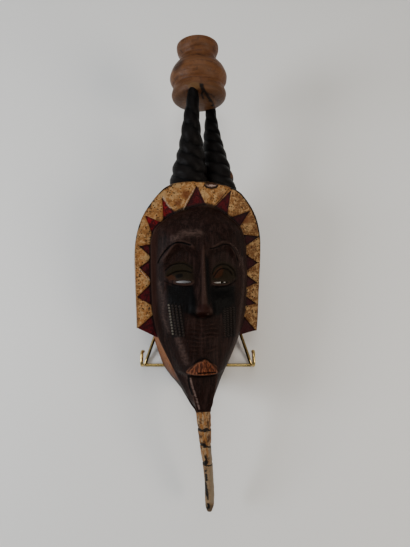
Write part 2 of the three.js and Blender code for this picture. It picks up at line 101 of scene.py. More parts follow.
# Forms of the face. The nose widens from its ridge by "spread", and ends in two wings.
NOSE = {
    "top": 27, "tip": -32, "height": 12.5, "x": 0.6, "ridge": 3.8, "spread": 3.0, "wing": 3.6, "wing_x": 6.2,
}
EYE = {"x": 15.8, "z": -6, "mid": 0.9, "socket": 3.6, "lid": 3.0}
BROW = {"z": 19.5, "arch": 7.0, "arch_x": 19, "fall": 9, "height": 0.8}
LIP = {"x": 0.6, "bottom": -85, "top": -73, "half": 13, "height": 4.2}
CHIN = {"start": -88, "length": 28, "top": 12.8, "bottom": 6.6, "lean": 0.8, "inset": 3.0}

# Incised lines of the face: half width, depth, then the points x, z.
BROW_LINES = (
    (0.6, 0.9, ((-37.0, 9.5), (-34.9, 14.0), (-30.6, 20.0), (-23.9, 25.6), (-17.9, 26.3), (-10.1, 24.2))),
    (0.42, 0.6, ((6.5, 21.2), (12.5, 22.4), (19.0, 25.0), (25.0, 24.6), (30.0, 19.0), (33.4, 11.0))),
)
LID_LINES = (
    (0.45, 0.6, ((-31.0, 2.4), (-27.0, 6.2), (-22.5, 8.1), (-18.0, 8.7), (-13.0, 7.6), (-8.2, 4.6))),
    (0.5, 0.7, ((-29.0, -2.2), (-24.5, 0.4), (-20.6, 1.7), (-14.0, 2.2), (-8.8, 0.7))),
    (0.4, 0.5, ((-31.7, -6.4), (-27.0, -8.6), (-21.9, -10.2), (-14.0, -11.4), (-8.2, -11.2))),
    (0.45, 0.6, ((9.2, -0.5), (11.3, 4.6), (17.2, 7.9), (23.8, 7.4), (29.6, 2.4), (31.0, -2.0))),
    (0.5, 0.7, ((10.5, -3.0), (14.6, 2.6), (19.2, 4.4), (24.4, 3.2), (28.0, -1.0))),
    (0.4, 0.5, ((8.6, -10.6), (14.0, -11.6), (21.0, -11.0), (27.0, -9.0), (31.0, -6.2))),
    (1.5, 0, ((-20.8, -2.4), (-17.6, -1.6))),
)
MOUTH_GAP = (0.5, 0.9, ((-4.4, -83.3), (0.0, -83.0), (4.0, -83.1), (8.0, -83.4), (11.0, -83.8)))
CHIN_LINE = (0.7, 0.3, ((-11.8, -86.8), (-11.0, -94.5), (-8.4, -103.1)))
# Painted areas of the face, as outlines x, z: olive lids, ochre corners of the eyes, soot on the cheeks,
# black down the right side of the nose, and the lips.
LID_AREAS = (
    ((-31.5, -2), (-29, 3.4), (-22.5, 9.5), (-15, 10), (-8, 6.5), (-7.2, -6.8), (-22, -6.2)),
    ((8.2, -6.8), (8.4, 1), (12, 7.5), (18, 10.4), (25, 9.6), (31, 4), (32, -4), (23.5, -9)),
)
CORNER_AREAS = (
    ((-31.0, -3.0), (-26.2, -0.4), (-22.2, -2.6), (-21.4, -5.6), (-27.5, -6.2)),
    ((10.1, -0.4), (13.7, 4.6), (17.9, 6.6), (20.1, 3.4), (18.4, -1.6), (13.7, -4.6), (10.6, -3.8)),
)
CHEEK_AREAS = (
    ((-29.8, -9.6), (-7.2, -11.2), (-5.6, -22.2), (-5.8, -36.0), (-15.8, -33.5), (-21.4, -28.9),
     (-28.6, -25.4)),
    ((6.0, -11.0), (30.4, -10.6), (30.4, -26.7), (20.8, -32.9), (13.7, -36.4), (9.4, -34.5),
     (6.2, -22.3)),
    ((2.6, 16.0), (5.6, 13.0), (7.0, -11.0), (6.8, -25.0), (4.0, -26.0), (3.0, 0.0)),
)
LIP_AREA = (
    (-13.6, -83.4), (-10.6, -79.5), (-4.9, -75.5), (1.9, -72.7), (5.0, -74.2), (6.7, -76.2), (9.7, -77.2),
    (12.4, -79.5), (13.3, -83.0), (12.8, -84.9), (4.1, -85.6), (-4.3, -85.2), (-13.2, -84.6),
)
# Stretches made matt and rough: left of the nose, left of the chin and the left edge of the face.
DULL_AREAS = (
    ((-9.5, 20.0), (0.0, 20.0), (0.4, -20.0), (-2.0, -27.0), (-9.5, -27.0)),
    ((-21.0, -88.0), (-12.0, -88.0), (-6.0, -108.0), (-9.0, -114.0), (-16.0, -104.0)),
    ((-46.0, 40.0), (-37.0, 40.0), (-39.0, 6.0), (-38.6, -20.0), (-36.4, -36.0), (-31.6, -55.0),
     (-25.4, -72.0), (-19.6, -88.0), (-32.0, -88.0), (-46.0, -40.0)),
)
# The fields of scar marks, darkened between the blocks.
SCAR_AREAS = (
    ((-29.4, -25.4), (-15.0, -26.0), (-15.0, -54.0), (-25.4, -55.0)),
    ((17.2, -31.0), (31.6, -27.4), (31.2, -55.8), (21.0, -56.2)),
)
# Painted highlights along ridges, and broad stretches of painted sheen: half width, then the points x, z.
HIGHLIGHT_LINES = (
    (0.22, ((0.7, 14.0), (0.9, 4.0), (1.1, -8.0), (1.3, -18.8))),
    (0.3, ((25.6, 26.4), (30.2, 23.6), (33.6, 18.4), (35.6, 12.3), (35.2, 6.7))),
    (0.8, ((3.9, -33.9), (4.7, -34.7))),
    (0.9, ((-10.3, -88.9), (-8.2, -96.6), (-5.2, -106.0), (-2.3, -116.2))),
    (0.4, ((-13.0, -84.0), (-4.5, -84.9), (6.5, -85.2))),
)
PAINTED_SHEEN_LINES = (
    (1.4, ((37.6, 14.0), (40.1, 1.0), (40.1, -8.8), (38.0, -23.6), (35.9, -40.1), (32.0, -60.0),
           (26.0, -76.0))),
    (0.8, ((-35.6, 11.2), (-33.8, 16.7), (-31.2, 21.0))),
    (1.2, ((-36.2, -7.3), (-33.4, -22.6), (-32.3, -38.0), (-28.6, -50.0))),
    (2.4, ((-26.6, -35.0), (-21.4, -52.3), (-17.1, -65.2), (-13.4, -75.4))),
    (3.0, ((-24.0, 30.0), (-14.0, 34.5), (-2.0, 34.5))),
    (1.6, ((-13.0, -88.0), (-10.0, -100.0), (-6.0, -112.0))),
)
# Scar marks: raised blocks in rows, as first place, step across, step down, columns, rows and block size,
# and a line of painted highlights on the blocks of the first column.
SCAR_GRIDS = (
    ((-28.0, -27.2), (3.0, -0.35), (0.34, -2.45), 4, 11, (1.9, 1.7)),
    ((19.6, -30.6), (3.0, 0.25), (0.06, -1.95), 4, 13, (2.7, 1.0)),
)
SCAR_BLOCK = {"tall": 2.6, "sunk": 0.55}
SCAR_HIGHLIGHT_LINE = ((1.1, ((-28.2, -26.6), (-26.4, -40.0), (-24.3, -53.0))),)
# Slits of the eyes: middle x, z, half width and half height.
EYE_SLITS = ((-15.2, -7.3, 7.1, 1.1), (17.3, -7.9, 6.8, 0.85))

# Outline of the flange from the left corner over the top to the right one, and where it meets the jaw.
FLANGE_OUTLINE = (
    (-56.0, -48.6), (-56.6, -30), (-57.4, -8), (-58.0, 14.7), (-56.6, 32), (-52.4, 47.4),
    (-45.6, 60.2), (-34.6, 74.2), (-26.2, 80.3), (-14.5, 83.2), (2.5, 84.6), (12.1, 84.0),
    (21.4, 82.2), (35.5, 77.3), (43.6, 70.0), (52.3, 56.3), (57.2, 39.6), (58.15, 20.0),
    (56.9, -7.9), (55.4, -43.3), (54.5, -53.0),
)
FLANGE_NECK = ((-38.6, -57.4), (37.4, -57.2))
FLANGE_THICKNESS = 7
# The worn front edge: how deep and how wide. The chip in the top: place, half sizes and depth.
FLANGE_ROUND = (1.1, 1.3)
FLANGE_CHIP = ((11.0, 81.6), (6.2, 3.2), 2.6)
# Red triangles of the flange: point near the rim, then the two ends of the base on the face.
RED_TRIANGLES = (
    ((-55.4, -49.2), (-40.8, -36.4), (-36.0, -60.0)),
    ((-56.0, -21.2), (-42.2, -8.0), (-40.8, -29.4)),
    ((-53.8, 5.5), (-42.4, 13.6), (-42.4, -6.0)),
    ((-54.2, 24.6), (-42.0, 26.4), (-42.4, 13.8)),
    ((-48.6, 52.4), (-42.2, 34.6), (-32.6, 45.4)),
    ((-33.4, 68.8), (-32.2, 45.2), (-20.4, 53.6)),
    ((-1.8, 80.4), (-14.8, 55.4), (8.0, 60.4)),
    ((30.4, 77.3), (14.4, 61.2), (26.6, 53.2)),
    ((48.1, 58.3), (28.6, 51.6), (38.4, 43.4)),
    ((57.2, 34.6), (39.0, 36.6), (42.4, 24.4)),
    ((55.6, 10.1), (42.6, 19.0), (42.6, 1.0)),
    ((55.0, -8.6), (42.6, 0.4), (42.6, -13.8)),
    ((54.1, -27.9), (42.6, -20.0), (42.4, -30.6)),
    ((53.6, -53.0), (42.6, -40.0), (35.4, -60.0)),
)

# Paint on the flange, the rod and the spool: half width, then the points. Black first, with one line of
# painted shadow, then painted highlights, then painted shade and a dark paint line along the edges.
RIM_INK_AND_SHADOW = (
    (0.8, ((30.0, 78.6), (35.4, 76.6), (43.0, 69.6), (51.6, 56.0), (56.4, 40.0), (57.2, 34.0))),
    # The line along the top left is a painted shadow of the flange's back edge; the others are black paint.
    (0.5, ((-24.0, 80.2), (-31.0, 76.4), (-37.0, 71.6))),
    (0.9, ((-45.6, 59.4), (-43.6, 62.2))),
    (0.9, ((-54.6, 40.6), (-53.4, 43.6))),
    (0.8, ((-57.0, 31.2), (-56.4, 34.2))),
)
CHIP_INK = ((0.7, ((5.4, 80.9), (7.4, 79.0), (11.4, 78.2), (15.4, 79.0), (17.2, 80.8))),)
# Painted highlights where the cut edges and the left rim catch the light.
EDGE_HIGHLIGHTS = (
    (0.3, ((-4.1, 77.3), (-7.4, 71.4), (-11.6, 63.9), (-14.1, 57.2))),
    (0.45, ((-32.5, 68.6), (-28.0, 61.8), (-25.6, 59.4))),
    (0.25, ((-53.5, 4.3), (-48.3, -2.2), (-44.3, -6.3))),
    (0.35, ((-57.7, 16.0), (-57.0, -20.0), (-56.0, -47.0))),
)
# Painted shade on the shaded sides of the cut triangles, and a dark line of paint along the top edge.
EDGE_SHADE_AND_LINE = (
    (0.8, ((-3.0, 84.0), (6.7, 83.8), (10.1, 83.4), (15.2, 82.9), (22.4, 81.6))),
    (0.4, ((-0.4, 78.6), (1.7, 70.0), (5.9, 59.3))),
    (0.5, ((-26.4, 60.2), (-21.5, 55.4), (-14.9, 57.2))),
    (0.4, ((26.8, 76.6), (20.4, 68.6), (14.6, 62.6))),
)
# Brown stains on the flange: place and radius.
STAIN_SPOTS = (
    ((-12.0, 72.0), 4.0), ((-19.0, 64.0), 3.0), ((44.0, 50.0), 4.5), ((21.0, 71.0), 3.0),
    ((-48.0, 24.0), 2.5),
)
# Black bands and drips on the rod, painted shade down its right side and one brown stain.
ROD_INK = (
    (0.7, ((-3.1, -134.9), (0.0, -135.4), (3.9, -134.6), (8.8, -136.0))),
    (1.3, ((-2.6, -134.9), (-1.4, -135.0))),
    (1.5, ((2.4, -135.0), (3.9, -134.0))),
    (1.5, ((-0.6, -148.2), (1.8, -147.8), (2.6, -149.2))),
    (0.6, ((2.6, -149.4), (4.7, -149.6), (8.8, -151.0))),
    (0.9, ((3.5, -158.5), (4.2, -161.7))),
    (1.8, ((4.2, -163.2), (3.0, -165.4))),
    (0.6, ((0.4, -165.6), (4.8, -166.8), (10.0, -166.8))),
    (0.7, ((3.9, -171.4), (3.9, -173.0))),
    (1.0, ((4.4, -175.6), (4.7, -178.4), (5.0, -181.4))),
    (1.2, ((3.9, -184.5), (5.1, -190.8), (6.1, -196.4))),
    (0.6, ((4.3, -186.1), (6.3, -192.5), (6.7, -200.5))),
    (0.9, ((7.0, -204.5), (7.8, -207.5), (6.4, -209.5))),
)
ROD_SHADE = ((2.4, ((8.6, -152.0), (10.2, -161.8), (10.6, -177.5), (11.6, -193.3), (11.4, -202.0))),)
ROD_STAIN = (((4.1, -139.9), (7.6, -138.5), (8.4, -144.0), (4.8, -146.2)),)
# The black split in the spool's underside, in the spool's own x and y, and its dark and bare patches:
# place, squash and radius.
SPOOL_SPLIT = (
    (1.1, ((-2.5, -27.0), (2.5, -22.5), (6.5, -16.0), (11.0, -7.0), (14.0, 2.0))),
    (0.8, ((-1.0, -25.0), (0.5, -18.0), (3.0, -12.0))),
    (0.35, ((3.0, -22.0), (9.0, -19.0), (13.0, -14.0))),
)
SPOOL_STAIN = ((-20.0, -15.0, 29.0), (0.8, 1, 1.2), 7)
SPOOL_BARE = ((-8.0, -25.0, 7.0), (0.8, 1, 1.6), 5)
# The split stays below this height of the spool.
SPOOL_FOOT = 9

# Where the face's paint runs over the bare wall: below and above these heights, in front of this depth.
OVERPAINT = {"below": -97, "above": -57, "front": 8}
# The red-brown tip of the nose, and the pale wood in the flange's chip, whose place is counted from the chip:
# place, squash and radius.
TIP_PAINT = ((0.2, -31.5), (1, 0.8), 4.6)
CHIP_PAINT = ((0.8, -0.6), (1 / 4.2, 1), 1.1)

# Horns: x, y, z, radius from the base to the tip.
LEFT_HORN = (
    (-6.4, 25, 51, 14.6), (-6.9, 24.6, 64, 18.0), (-6.8, 23, 78, 18.6), (-6.6, 20, 94, 17.2),
    (-5.6, 15, 116, 12.4), (-6.2, 9, 132, 9.3), (-6.0, 6, 146, 7.3), (-5.2, 4.6, 158, 5.9),
    (-4.5, 6, 172, 4.6),
)
RIGHT_HORN = (
    (18.6, 25, 51, 12.0), (23.4, 25.4, 63, 16.0), (24.0, 26, 76, 16.6), (22.2, 28, 92, 15.4),
    (20.6, 32, 110, 12.9), (19.4, 36, 124, 10.9), (18.4, 39.6, 140, 8.6), (17.9, 42.3, 157, 6.2),
    (17.1, 41.5, 172, 4.6),
)
HORN_RINGS = 190
# The ribs wind round a horn as a screw with two starts.
HORN_STARTS = 2

# Spool: height above its underside, radius.
SPOOL_PROFILE = (
    (0.0, 0.0), (0.7, 14), (2.3, 21.2), (5.0, 25.4), (8.8, 26.9), (12.2, 26.5), (15.4, 25.2),
    (17.0, 24.8), (18.6, 25.8), (22.0, 27.6), (26.2, 28.2), (31.0, 26.9), (36.0, 23.8),
    (40.6, 19.7), (43.2, 17.8), (46.0, 17.6), (49.6, 19.6), (53.2, 20.6), (56.4, 20.4),
    (57.8, 19.0),
)
SPOOL_AT = (3.5, 25, 163.9)
SPOOL_LEAN = math.radians(-1.8)

# Beard rod: x, y, z, half width, half depth from the chin to the tip.
BEARD = (
    (1.6, -15.8, -112, 6.0, 4.6), (1.9, -16.4, -121.5, 6.3, 4.6), (2.9, -16.2, -134, 5.9, 5.2),
    (3.9, -15.4, -150, 4.9, 4.9), (5.9, -14, -166.4, 4.4, 4.5), (7.7, -11, -183, 4.0, 4.0),
    (8.6, -8.5, -196, 4.2, 3.8), (8.8, -7, -207, 3.8, 3.4), (8.8, -6.4, -212.9, 2.2, 2.2),
)

# Three bands scored round the rod: height, then the depth as a share of the rod and the half width.
BEARD_BANDS = (-134.0, -149.0, -165.0)
BAND_CUT = (0.11, 0.8)

# Stand, in the plane of its front frame: the frame, the hooks, and the prop with its shoulders on the frame.
STAND = {
    "half": 55, "bar_z": -94.6, "apex_z": 62, "apex_bend": 2.4, "rise": 22, "reach": 13.6, "drop": 10,
    "foot_back": 28, "foot_half": 30, "shoulder_half": 4.5, "shoulder_z": 53, "gap": 0.3,
}
# The wire is drawn a hundredth thinner than it is, so that no bend of it leaves the solid's box.
WIRE_SHARE = 0.99
# The legs of the front frame are darkened with painted shade, where the mask shadows them: half width of
# that stretch, and where it starts and is full, in the row frame.
LEG_SHADE = {"half": 53.5, "start": -89, "full": -87}

# Lights: name, place and side in metres, power in watts, colour. Two softboxes, one to each side, make the
# faint shadows beside the beard, one behind evens the ground, and a small lamp above draws the bright line
# along the stand's bar.
LIGHTS = (
    ("softbox_right", (0.77, -0.28, 0.66), 0.36, 4.9, "#fff2e2"),
    ("softbox_left", (-0.88, -0.12, 0.57), 0.36, 8.0, "#f4f8ff"),
    ("softbox_rear", (0.0, 0.75, 0.9), 0.9, 3.0, "#ffffff"),
    ("lamp_above", (0.0, 0.12, 1.0), 0.2, 1.5, "#fffcf4"),
)
LIGHTS_AIM = (0, 0, 0.05)
SKY = ("#f2f3f5", 0.22)
FLOOR_HALF = 3.0
# The lens looks straight along the stand's leaning axis, 360 mm in front of the flange. Its focal length is
# 395 pixels of the photograph.
LENS_AT = (7.1, -360, 0)
LENS_PIXELS = 395
SENSOR = 36


def linear(hex_colour):
    """Linear RGBA of an sRGB hex colour."""
    digits = hex_colour.lstrip("#")
    channels = [int(digits[i : i + 2], 16) / 255 for i in (0, 2, 4)]
    return tuple(c / 12.92 if c <= 0.04045 else ((c + 0.055) / 1.055) ** 2.4 for c in channels) + (1.0,)


def colour_property(name, hex_colour, description):
    return FloatVectorProperty(
        name=name, description=description, subtype="COLOR", size=4, min=0, max=1, default=linear(hex_colour)
    )


class MaskSizes(bpy.types.PropertyGroup):
    """Sizes that a user would change."""

    wire: FloatProperty(
        name="Wire", description="Diameter of the stand's wire", default=3.2 * MM, unit="LENGTH", min=0.001
    )
    wire_bend: FloatProperty(
        name="Wire bend", description="Radius of the wire's corners", default=4.0 * MM, unit="LENGTH", min=0
    )
    rib_pitch: FloatProperty(
        name="Rib pitch", description="Distance between a horn's ribs", default=12.4 * MM, unit="LENGTH",
        min=0.004,
    )
    rib_depth: FloatProperty(
        name="Rib depth", description="Depth of the ribs as a share of the radius", default=0.12,
        subtype="FACTOR", min=0, max=0.4,
    )
    triangle_depth: FloatProperty(
        name="Triangle depth", description="How deep the red triangles are cut", default=1.1 * MM,
        unit="LENGTH", min=0,
    )
    horn_sides: IntProperty(name="Horn sides", description="Points around a horn", default=48, min=12)


class MaskColours(bpy.types.PropertyGroup):
    """Colours that a user would change."""

    face: colour_property("Face", "#180c09", "Brown paint of the face")
    rubbed: colour_property("Rubbed", "#3c2b25", "Paint where hands have rubbed it thin")
    soot: colour_property("Soot", "#050505", "Black paint of cheeks, horns and lines")
    lid: colour_property("Lid", "#1d170d", "Olive paint of the eyelids")
    ochre: colour_property("Ochre", "#331c0f", "Ochre in the corners of the eyes")
    lip: colour_property("Lip", "#3f1f11", "Paint of the lips")
    cream: colour_property("Cream", "#84592e", "Cream ground of the flange and the beard")
    tan: colour_property("Tan", "#644120", "Yellowed patches of the cream ground")
    red: colour_property("Red", "#400409", "Red of the triangles")
    wood: colour_property("Wood", "#7d4923", "Bare wood of the shell")
    spool: colour_property("Spool", "#5d391f", "Oiled wood of the spool")
    brass: colour_property("Brass", "#c4ab6c", "Polished brass of the stand")
    floor: colour_property("Floor", "#e9e9e6", "Floor of the stage")


def mask_to_row():
    """Matrix from the mask's own millimetres to metres in the row frame."""
    return group_to_row() @ Matrix.Translation(MASK_SHIFT) @ Matrix.Rotation(FACE_TURN, 4, "Z")


def group_to_row():
    """Matrix from the stand's own millimetres, upright as in the tables, to metres in the row frame."""
    lay = Matrix.Rotation(RECLINE - math.pi / 2, 4, "X")
    return Matrix.Scale(MM, 4) @ Matrix.Translation(GROUP_AT) @ lay


def along(table, at, column=1):
    """Smooth curve through the rows of a table, read at the values of the first column."""
    rows = np.array(table, float)
    knots, values = rows[:, 0], rows[:, column]
    secant = np.diff(values) / np.diff(knots)
    slope = np.empty(len(values))
    slope[0], slope[-1] = secant[0], secant[-1]
    both = secant[:-1] * secant[1:]
    total = np.where(secant[:-1] + secant[1:] == 0, 1, secant[:-1] + secant[1:])
    slope[1:-1] = np.where(both > 0, 2 * both / total, 0)
    at = np.clip(at, knots[0], knots[-1])
    i = np.clip(np.searchsorted(knots, at, "right") - 1, 0, len(knots) - 2)
    span = knots[i + 1] - knots[i]
    t = (at - knots[i]) / span
    return (
        (2 * t**3 - 3 * t**2 + 1) * values[i]
        + (t**3 - 2 * t**2 + t) * span * slope[i]
        + (3 * t**2 - 2 * t**3) * values[i + 1]
        + (t**3 - t**2) * span * slope[i + 1]
    )


def smooth(start, end, value):
    t = np.clip((value - start) / (end - start), 0, 1)
    return t * t * (3 - 2 * t)


def ripple(x, z, seed, size):
    """Slow seeded waves between -1 and 1, for the unevenness of a hand-cut surface."""
    draw = np.random.default_rng(seed)
    total = np.zeros(np.broadcast(x, z).shape)
    for _ in range(7):
        turn, phase = draw.uniform(0, 2 * math.pi, 2)
        pace = 2 * math.pi / (size * draw.uniform(0.7, 1.6))
        total = total + np.sin(pace * (x * math.cos(turn) + z * math.sin(turn)) + phase)
    return total / 4


def line_distance(points, line):
    """Distance of points (n, 2) from an open line of points."""
    best = np.full(len(points), 1e9)
    for a, b in zip(line[:-1], line[1:]):
        a, b = np.array(a, float), np.array(b, float)
        reach = b - a
        t = np.clip(((points - a) @ reach) / (reach @ reach), 0, 1)
        best = np.minimum(best, np.linalg.norm(points - (a + t[:, None] * reach), axis=1))
    return best


def area_depth(points, outline):
    """Signed distance of points (n, 2) from a closed outline, positive inside."""
    closed = list(outline) + [outline[0]]
    distance = line_distance(points, closed)
    odd = np.zeros(len(points), bool)
    for (ax, az), (bx, bz) in zip(closed[:-1], closed[1:]):
        if az == bz:
            continue
        crosses = (points[:, 1] < az) != (points[:, 1] < bz)
        at = ax + (points[:, 1] - az) * (bx - ax) / (bz - az)
        odd ^= crosses & (points[:, 0] < at)
    return np.where(odd, distance, -distance)


def rounded(line, steps=8):
    """Smooth line through a few points."""
    rows = np.array(line, float)
    padded = np.vstack((2 * rows[0] - rows[1], rows, 2 * rows[-1] - rows[-2]))
    made = []
    for p0, p1, p2, p3 in zip(padded[:-3], padded[1:-2], padded[2:-1], padded[3:]):
        for t in np.arange(steps) / steps:
            made.append(
                0.5 * (2 * p1 + (p2 - p0) * t + (2 * p0 - 5 * p1 + 4 * p2 - p3) * t**2
                       + (3 * p1 - p0 - 3 * p2 + p3) * t**3)
            )
    made.append(rows[-1])
    return np.array(made)


def ink_depth(points, lines):
    """How far points lie inside the given lines, in mm, negative outside. A line's depth isn't used."""
    best = np.full(len(points), -1e9)
    for half, *_, line in lines:
        best = np.maximum(best, half - line_distance(points, rounded(line)))
    return best


def rim_depth(x):
    """Depth of the rim plane, seen from the turned face."""
    return RIM_DEPTH / math.cos(FACE_TURN) - x * math.tan(FACE_TURN)


def bowl_depth(x, z):
    left, right = along(FACE_EDGE, z, 1), along(FACE_EDGE, z, 2)
    u = np.clip(np.abs(x - (left + right) / 2) / ((right - left) / 2), 0, 1)
    edge = 2.2 * smooth(62, 54, z)
    return -(edge + (along(FACE_PROFILE, z) - edge) * (1 - u**2.3) ** 0.72)


def chin_depth(x, z, depth):
    """The chin is cut flat in front between two edges that run down to the beard."""
    run = np.clip((CHIN["start"] - z) / CHIN["length"], 0, 1)
    half = CHIN["top"] + (CHIN["bottom"] - CHIN["top"]) * run
    t = np.abs(x - LIP["x"] - CHIN["lean"] * run)
    flat = -along(FACE_PROFILE, z) + CHIN["inset"] + 0.05 * t
    side = flat + np.maximum(0, t - half) * 1.9
    cut = np.where(t < half, flat, np.maximum(depth, np.minimum(side, 0)))
    return depth + (cut - depth) * smooth(CHIN["start"] + 4, CHIN["start"] - 0.5, z)


def nose_height(x, z):
    run = np.clip((NOSE["top"] - z) / (NOSE["top"] - NOSE["tip"]), 0, 1)
    end = smooth(NOSE["tip"] - 5.5, NOSE["tip"] + 0.5, z)
    away = np.abs(x - NOSE["x"])
    across = away / (NOSE["ridge"] + NOSE["spread"] * run)
    spot = ((away - NOSE["wing_x"]) / 3) ** 2 + ((z - NOSE["tip"] - 1) / 4.5) ** 2
    ridge = NOSE["height"] * run**0.75 * end * np.exp(-(across ** (1.2 + 0.9 * run**2)))
    return ridge + NOSE["wing"] * np.exp(-spot)


def brow_line(x):
    t = np.abs(x - EYE["mid"])
    arch = BROW["arch"] * np.exp(-(((t - BROW["arch_x"]) / 10) ** 2))
    return BROW["z"] + arch - BROW["fall"] * smooth(23, 36, t)


def eye_height(x, z):
    t = np.abs(x - EYE["mid"])
    across = np.abs((t - EYE["x"] - 1) / 14.5)
    below_brow = smooth(brow_line(x) + 0.8, brow_line(x) - 8.0, z)
    socket = -EYE["socket"] * np.exp(-(across**3)) * below_brow * smooth(-24, -9, z)
    lid = EYE["lid"] * np.exp(-(((t - EYE["x"]) / 9) ** 2) - ((z - EYE["z"]) / 6.5) ** 2)
    near = smooth(5, 9, t) * smooth(37, 31, t)
    brow = BROW["height"] * np.exp(-(((z - brow_line(x) - 1.2) / 2.2) ** 2)) * near
    return socket + lid + brow


def lip_height(x, z):
    t = np.abs(x - LIP["x"]) / LIP["half"]
    bow = LIP["bottom"] + (LIP["top"] - LIP["bottom"]) * np.maximum(0, 1 - t**1.7)
    inside = smooth(bow + 1.2, bow - 1.6, z) * smooth(LIP["bottom"] - 1.6, LIP["bottom"] + 0.2, z)
    return np.where(t > 1.15, 0, LIP["height"] * inside * (1 - 0.55 * t * t))


def face_depth(x, z):
    """Front surface of the face, with the fine carving that the hand tools left."""
    depth = chin_depth(x, z, bowl_depth(x, z))
    depth = depth - nose_height(x, z) - eye_height(x, z) - lip_height(x, z)
    points = np.stack((x.ravel(), z.ravel()), axis=1)
    for half, cut, line in BROW_LINES + LID_LINES + (MOUTH_GAP, CHIN_LINE):
        away = line_distance(points, rounded(line)).reshape(x.shape)
        depth = depth + cut * np.exp(-((away / half) ** 2))
    left, right = along(FACE_EDGE, z, 1), along(FACE_EDGE, z, 2)
    inner = 1 - np.clip(np.abs(x - (left + right) / 2) / ((right - left) / 2), 0, 1) ** 6
    # Wavy strokes 3.6 mm apart between nose and mouth, creases down the lip 2.3 mm apart, and slow waves of
    # 17 and 4 mm over the whole face.
    strokes = 0.36 * np.sin(z * 1.75 + 0.9 * np.cos(x * 0.34) + 1.3 * ripple(x, z, 3, 11))
    strokes = strokes * np.clip(0.75 + 0.45 * ripple(x, z, 13, 12), 0.2, 1.1)
    strokes = strokes * smooth(-73, -66, z) * smooth(-36, -43, z) * np.exp(-(((x - 2) / 15) ** 4))
    creases = 0.28 * np.sin(x * 2.7 + 1.1 * ripple(x, z, 9, 5)) * smooth(0, 1.5, lip_height(x, z))
    waves = 0.22 * ripple(x, z, 5, 17) + 0.07 * ripple(x, z, 8, 4.2)
    return depth + creases + (strokes + waves) * inner


def new_object(name, points, faces, materials=(), slots=None):
    """Mesh object in the mask's millimetres, with the same material list for every part of the mask."""
    mesh = bpy.data.meshes.new(name)
    mesh.from_pydata([tuple(p) for p in np.asarray(points, float)], [], [tuple(f) for f in faces])
    for material in materials:
        mesh.materials.append(material)
    if slots is not None:
        mesh.polygons.foreach_set("material_index", np.asarray(slots, np.int32))
    made = bpy.data.objects.new(name, mesh)
    bpy.context.scene.collection.objects.link(made)
    work = bmesh.new()
    work.from_mesh(mesh)
    bmesh.ops.recalc_face_normals(work, faces=work.faces)
    work.to_mesh(mesh)
    work.free()
    return made


def loft(rings):
    """Points and faces of a closed body through rings of equal count, with a hub at each end."""
    rings = np.asarray(rings, float)
    rows, count = rings.shape[:2]
    points = np.vstack((rings.reshape(-1, 3), rings[0].mean(0), rings[-1].mean(0)))
    start = np.arange(rows - 1)[:, None] * count + np.arange(count)[None, :]
    after = np.arange(rows - 1)[:, None] * count + (np.arange(count)[None, :] + 1) % count
    faces = np.stack((start, after, after + count, start + count), axis=-1).reshape(-1, 4).tolist()
    last = (rows - 1) * count
    for i in range(count):
        j = (i + 1) % count
        faces.append([rows * count, j, i])
        faces.append([rows * count + 1, last + i, last + j])
    return points, faces


def plain_mesh(made):
    """Turns what an object's modifiers make into its own mesh."""
    ready = bpy.context.evaluated_depsgraph_get()
    mesh = bpy.data.meshes.new_from_object(made.evaluated_get(ready), depsgraph=ready)
    made.modifiers.clear()
    old = made.data
    if made.type == "MESH":
        made.data = mesh
        return made
    fresh = bpy.data.objects.new(made.name + "_mesh", mesh)
    bpy.context.scene.collection.objects.link(fresh)
    bpy.data.objects.remove(made)
    bpy.data.curves.remove(old)
    return fresh


def combine(body, other, operation):
    """Joins a closed solid to the body or cuts it away, and removes it."""
    step = body.modifiers.new("combine", "BOOLEAN")
    step.operation = operation
    step.solver = "MANIFOLD"
    step.object = other
    plain_mesh(body)
    bpy.data.objects.remove(other)
    if not body.data.polygons:
        raise RuntimeError("the solids didn't join")


FACE, FLANGE, SHELL, HORN, SPOOL, BEARD_PAINT = range(6)


def mask_materials():
    return [
        bpy.data.materials[name]
        for name in (
            "rubbed_brown_paint", "cracked_gesso", "bare_carved_wood", "soot_black_paint",
            "oiled_turned_wood", "gessoed_rod",
        )
    ]


def face_levels():
    levels = []
    for start, end, spacing in FACE_LEVELS:
        steps = round((end - start) / spacing)
        levels += [start + (end - start) * i / steps for i in range(steps)]
    return np.array(levels + [FACE_LEVELS[-1][1]])


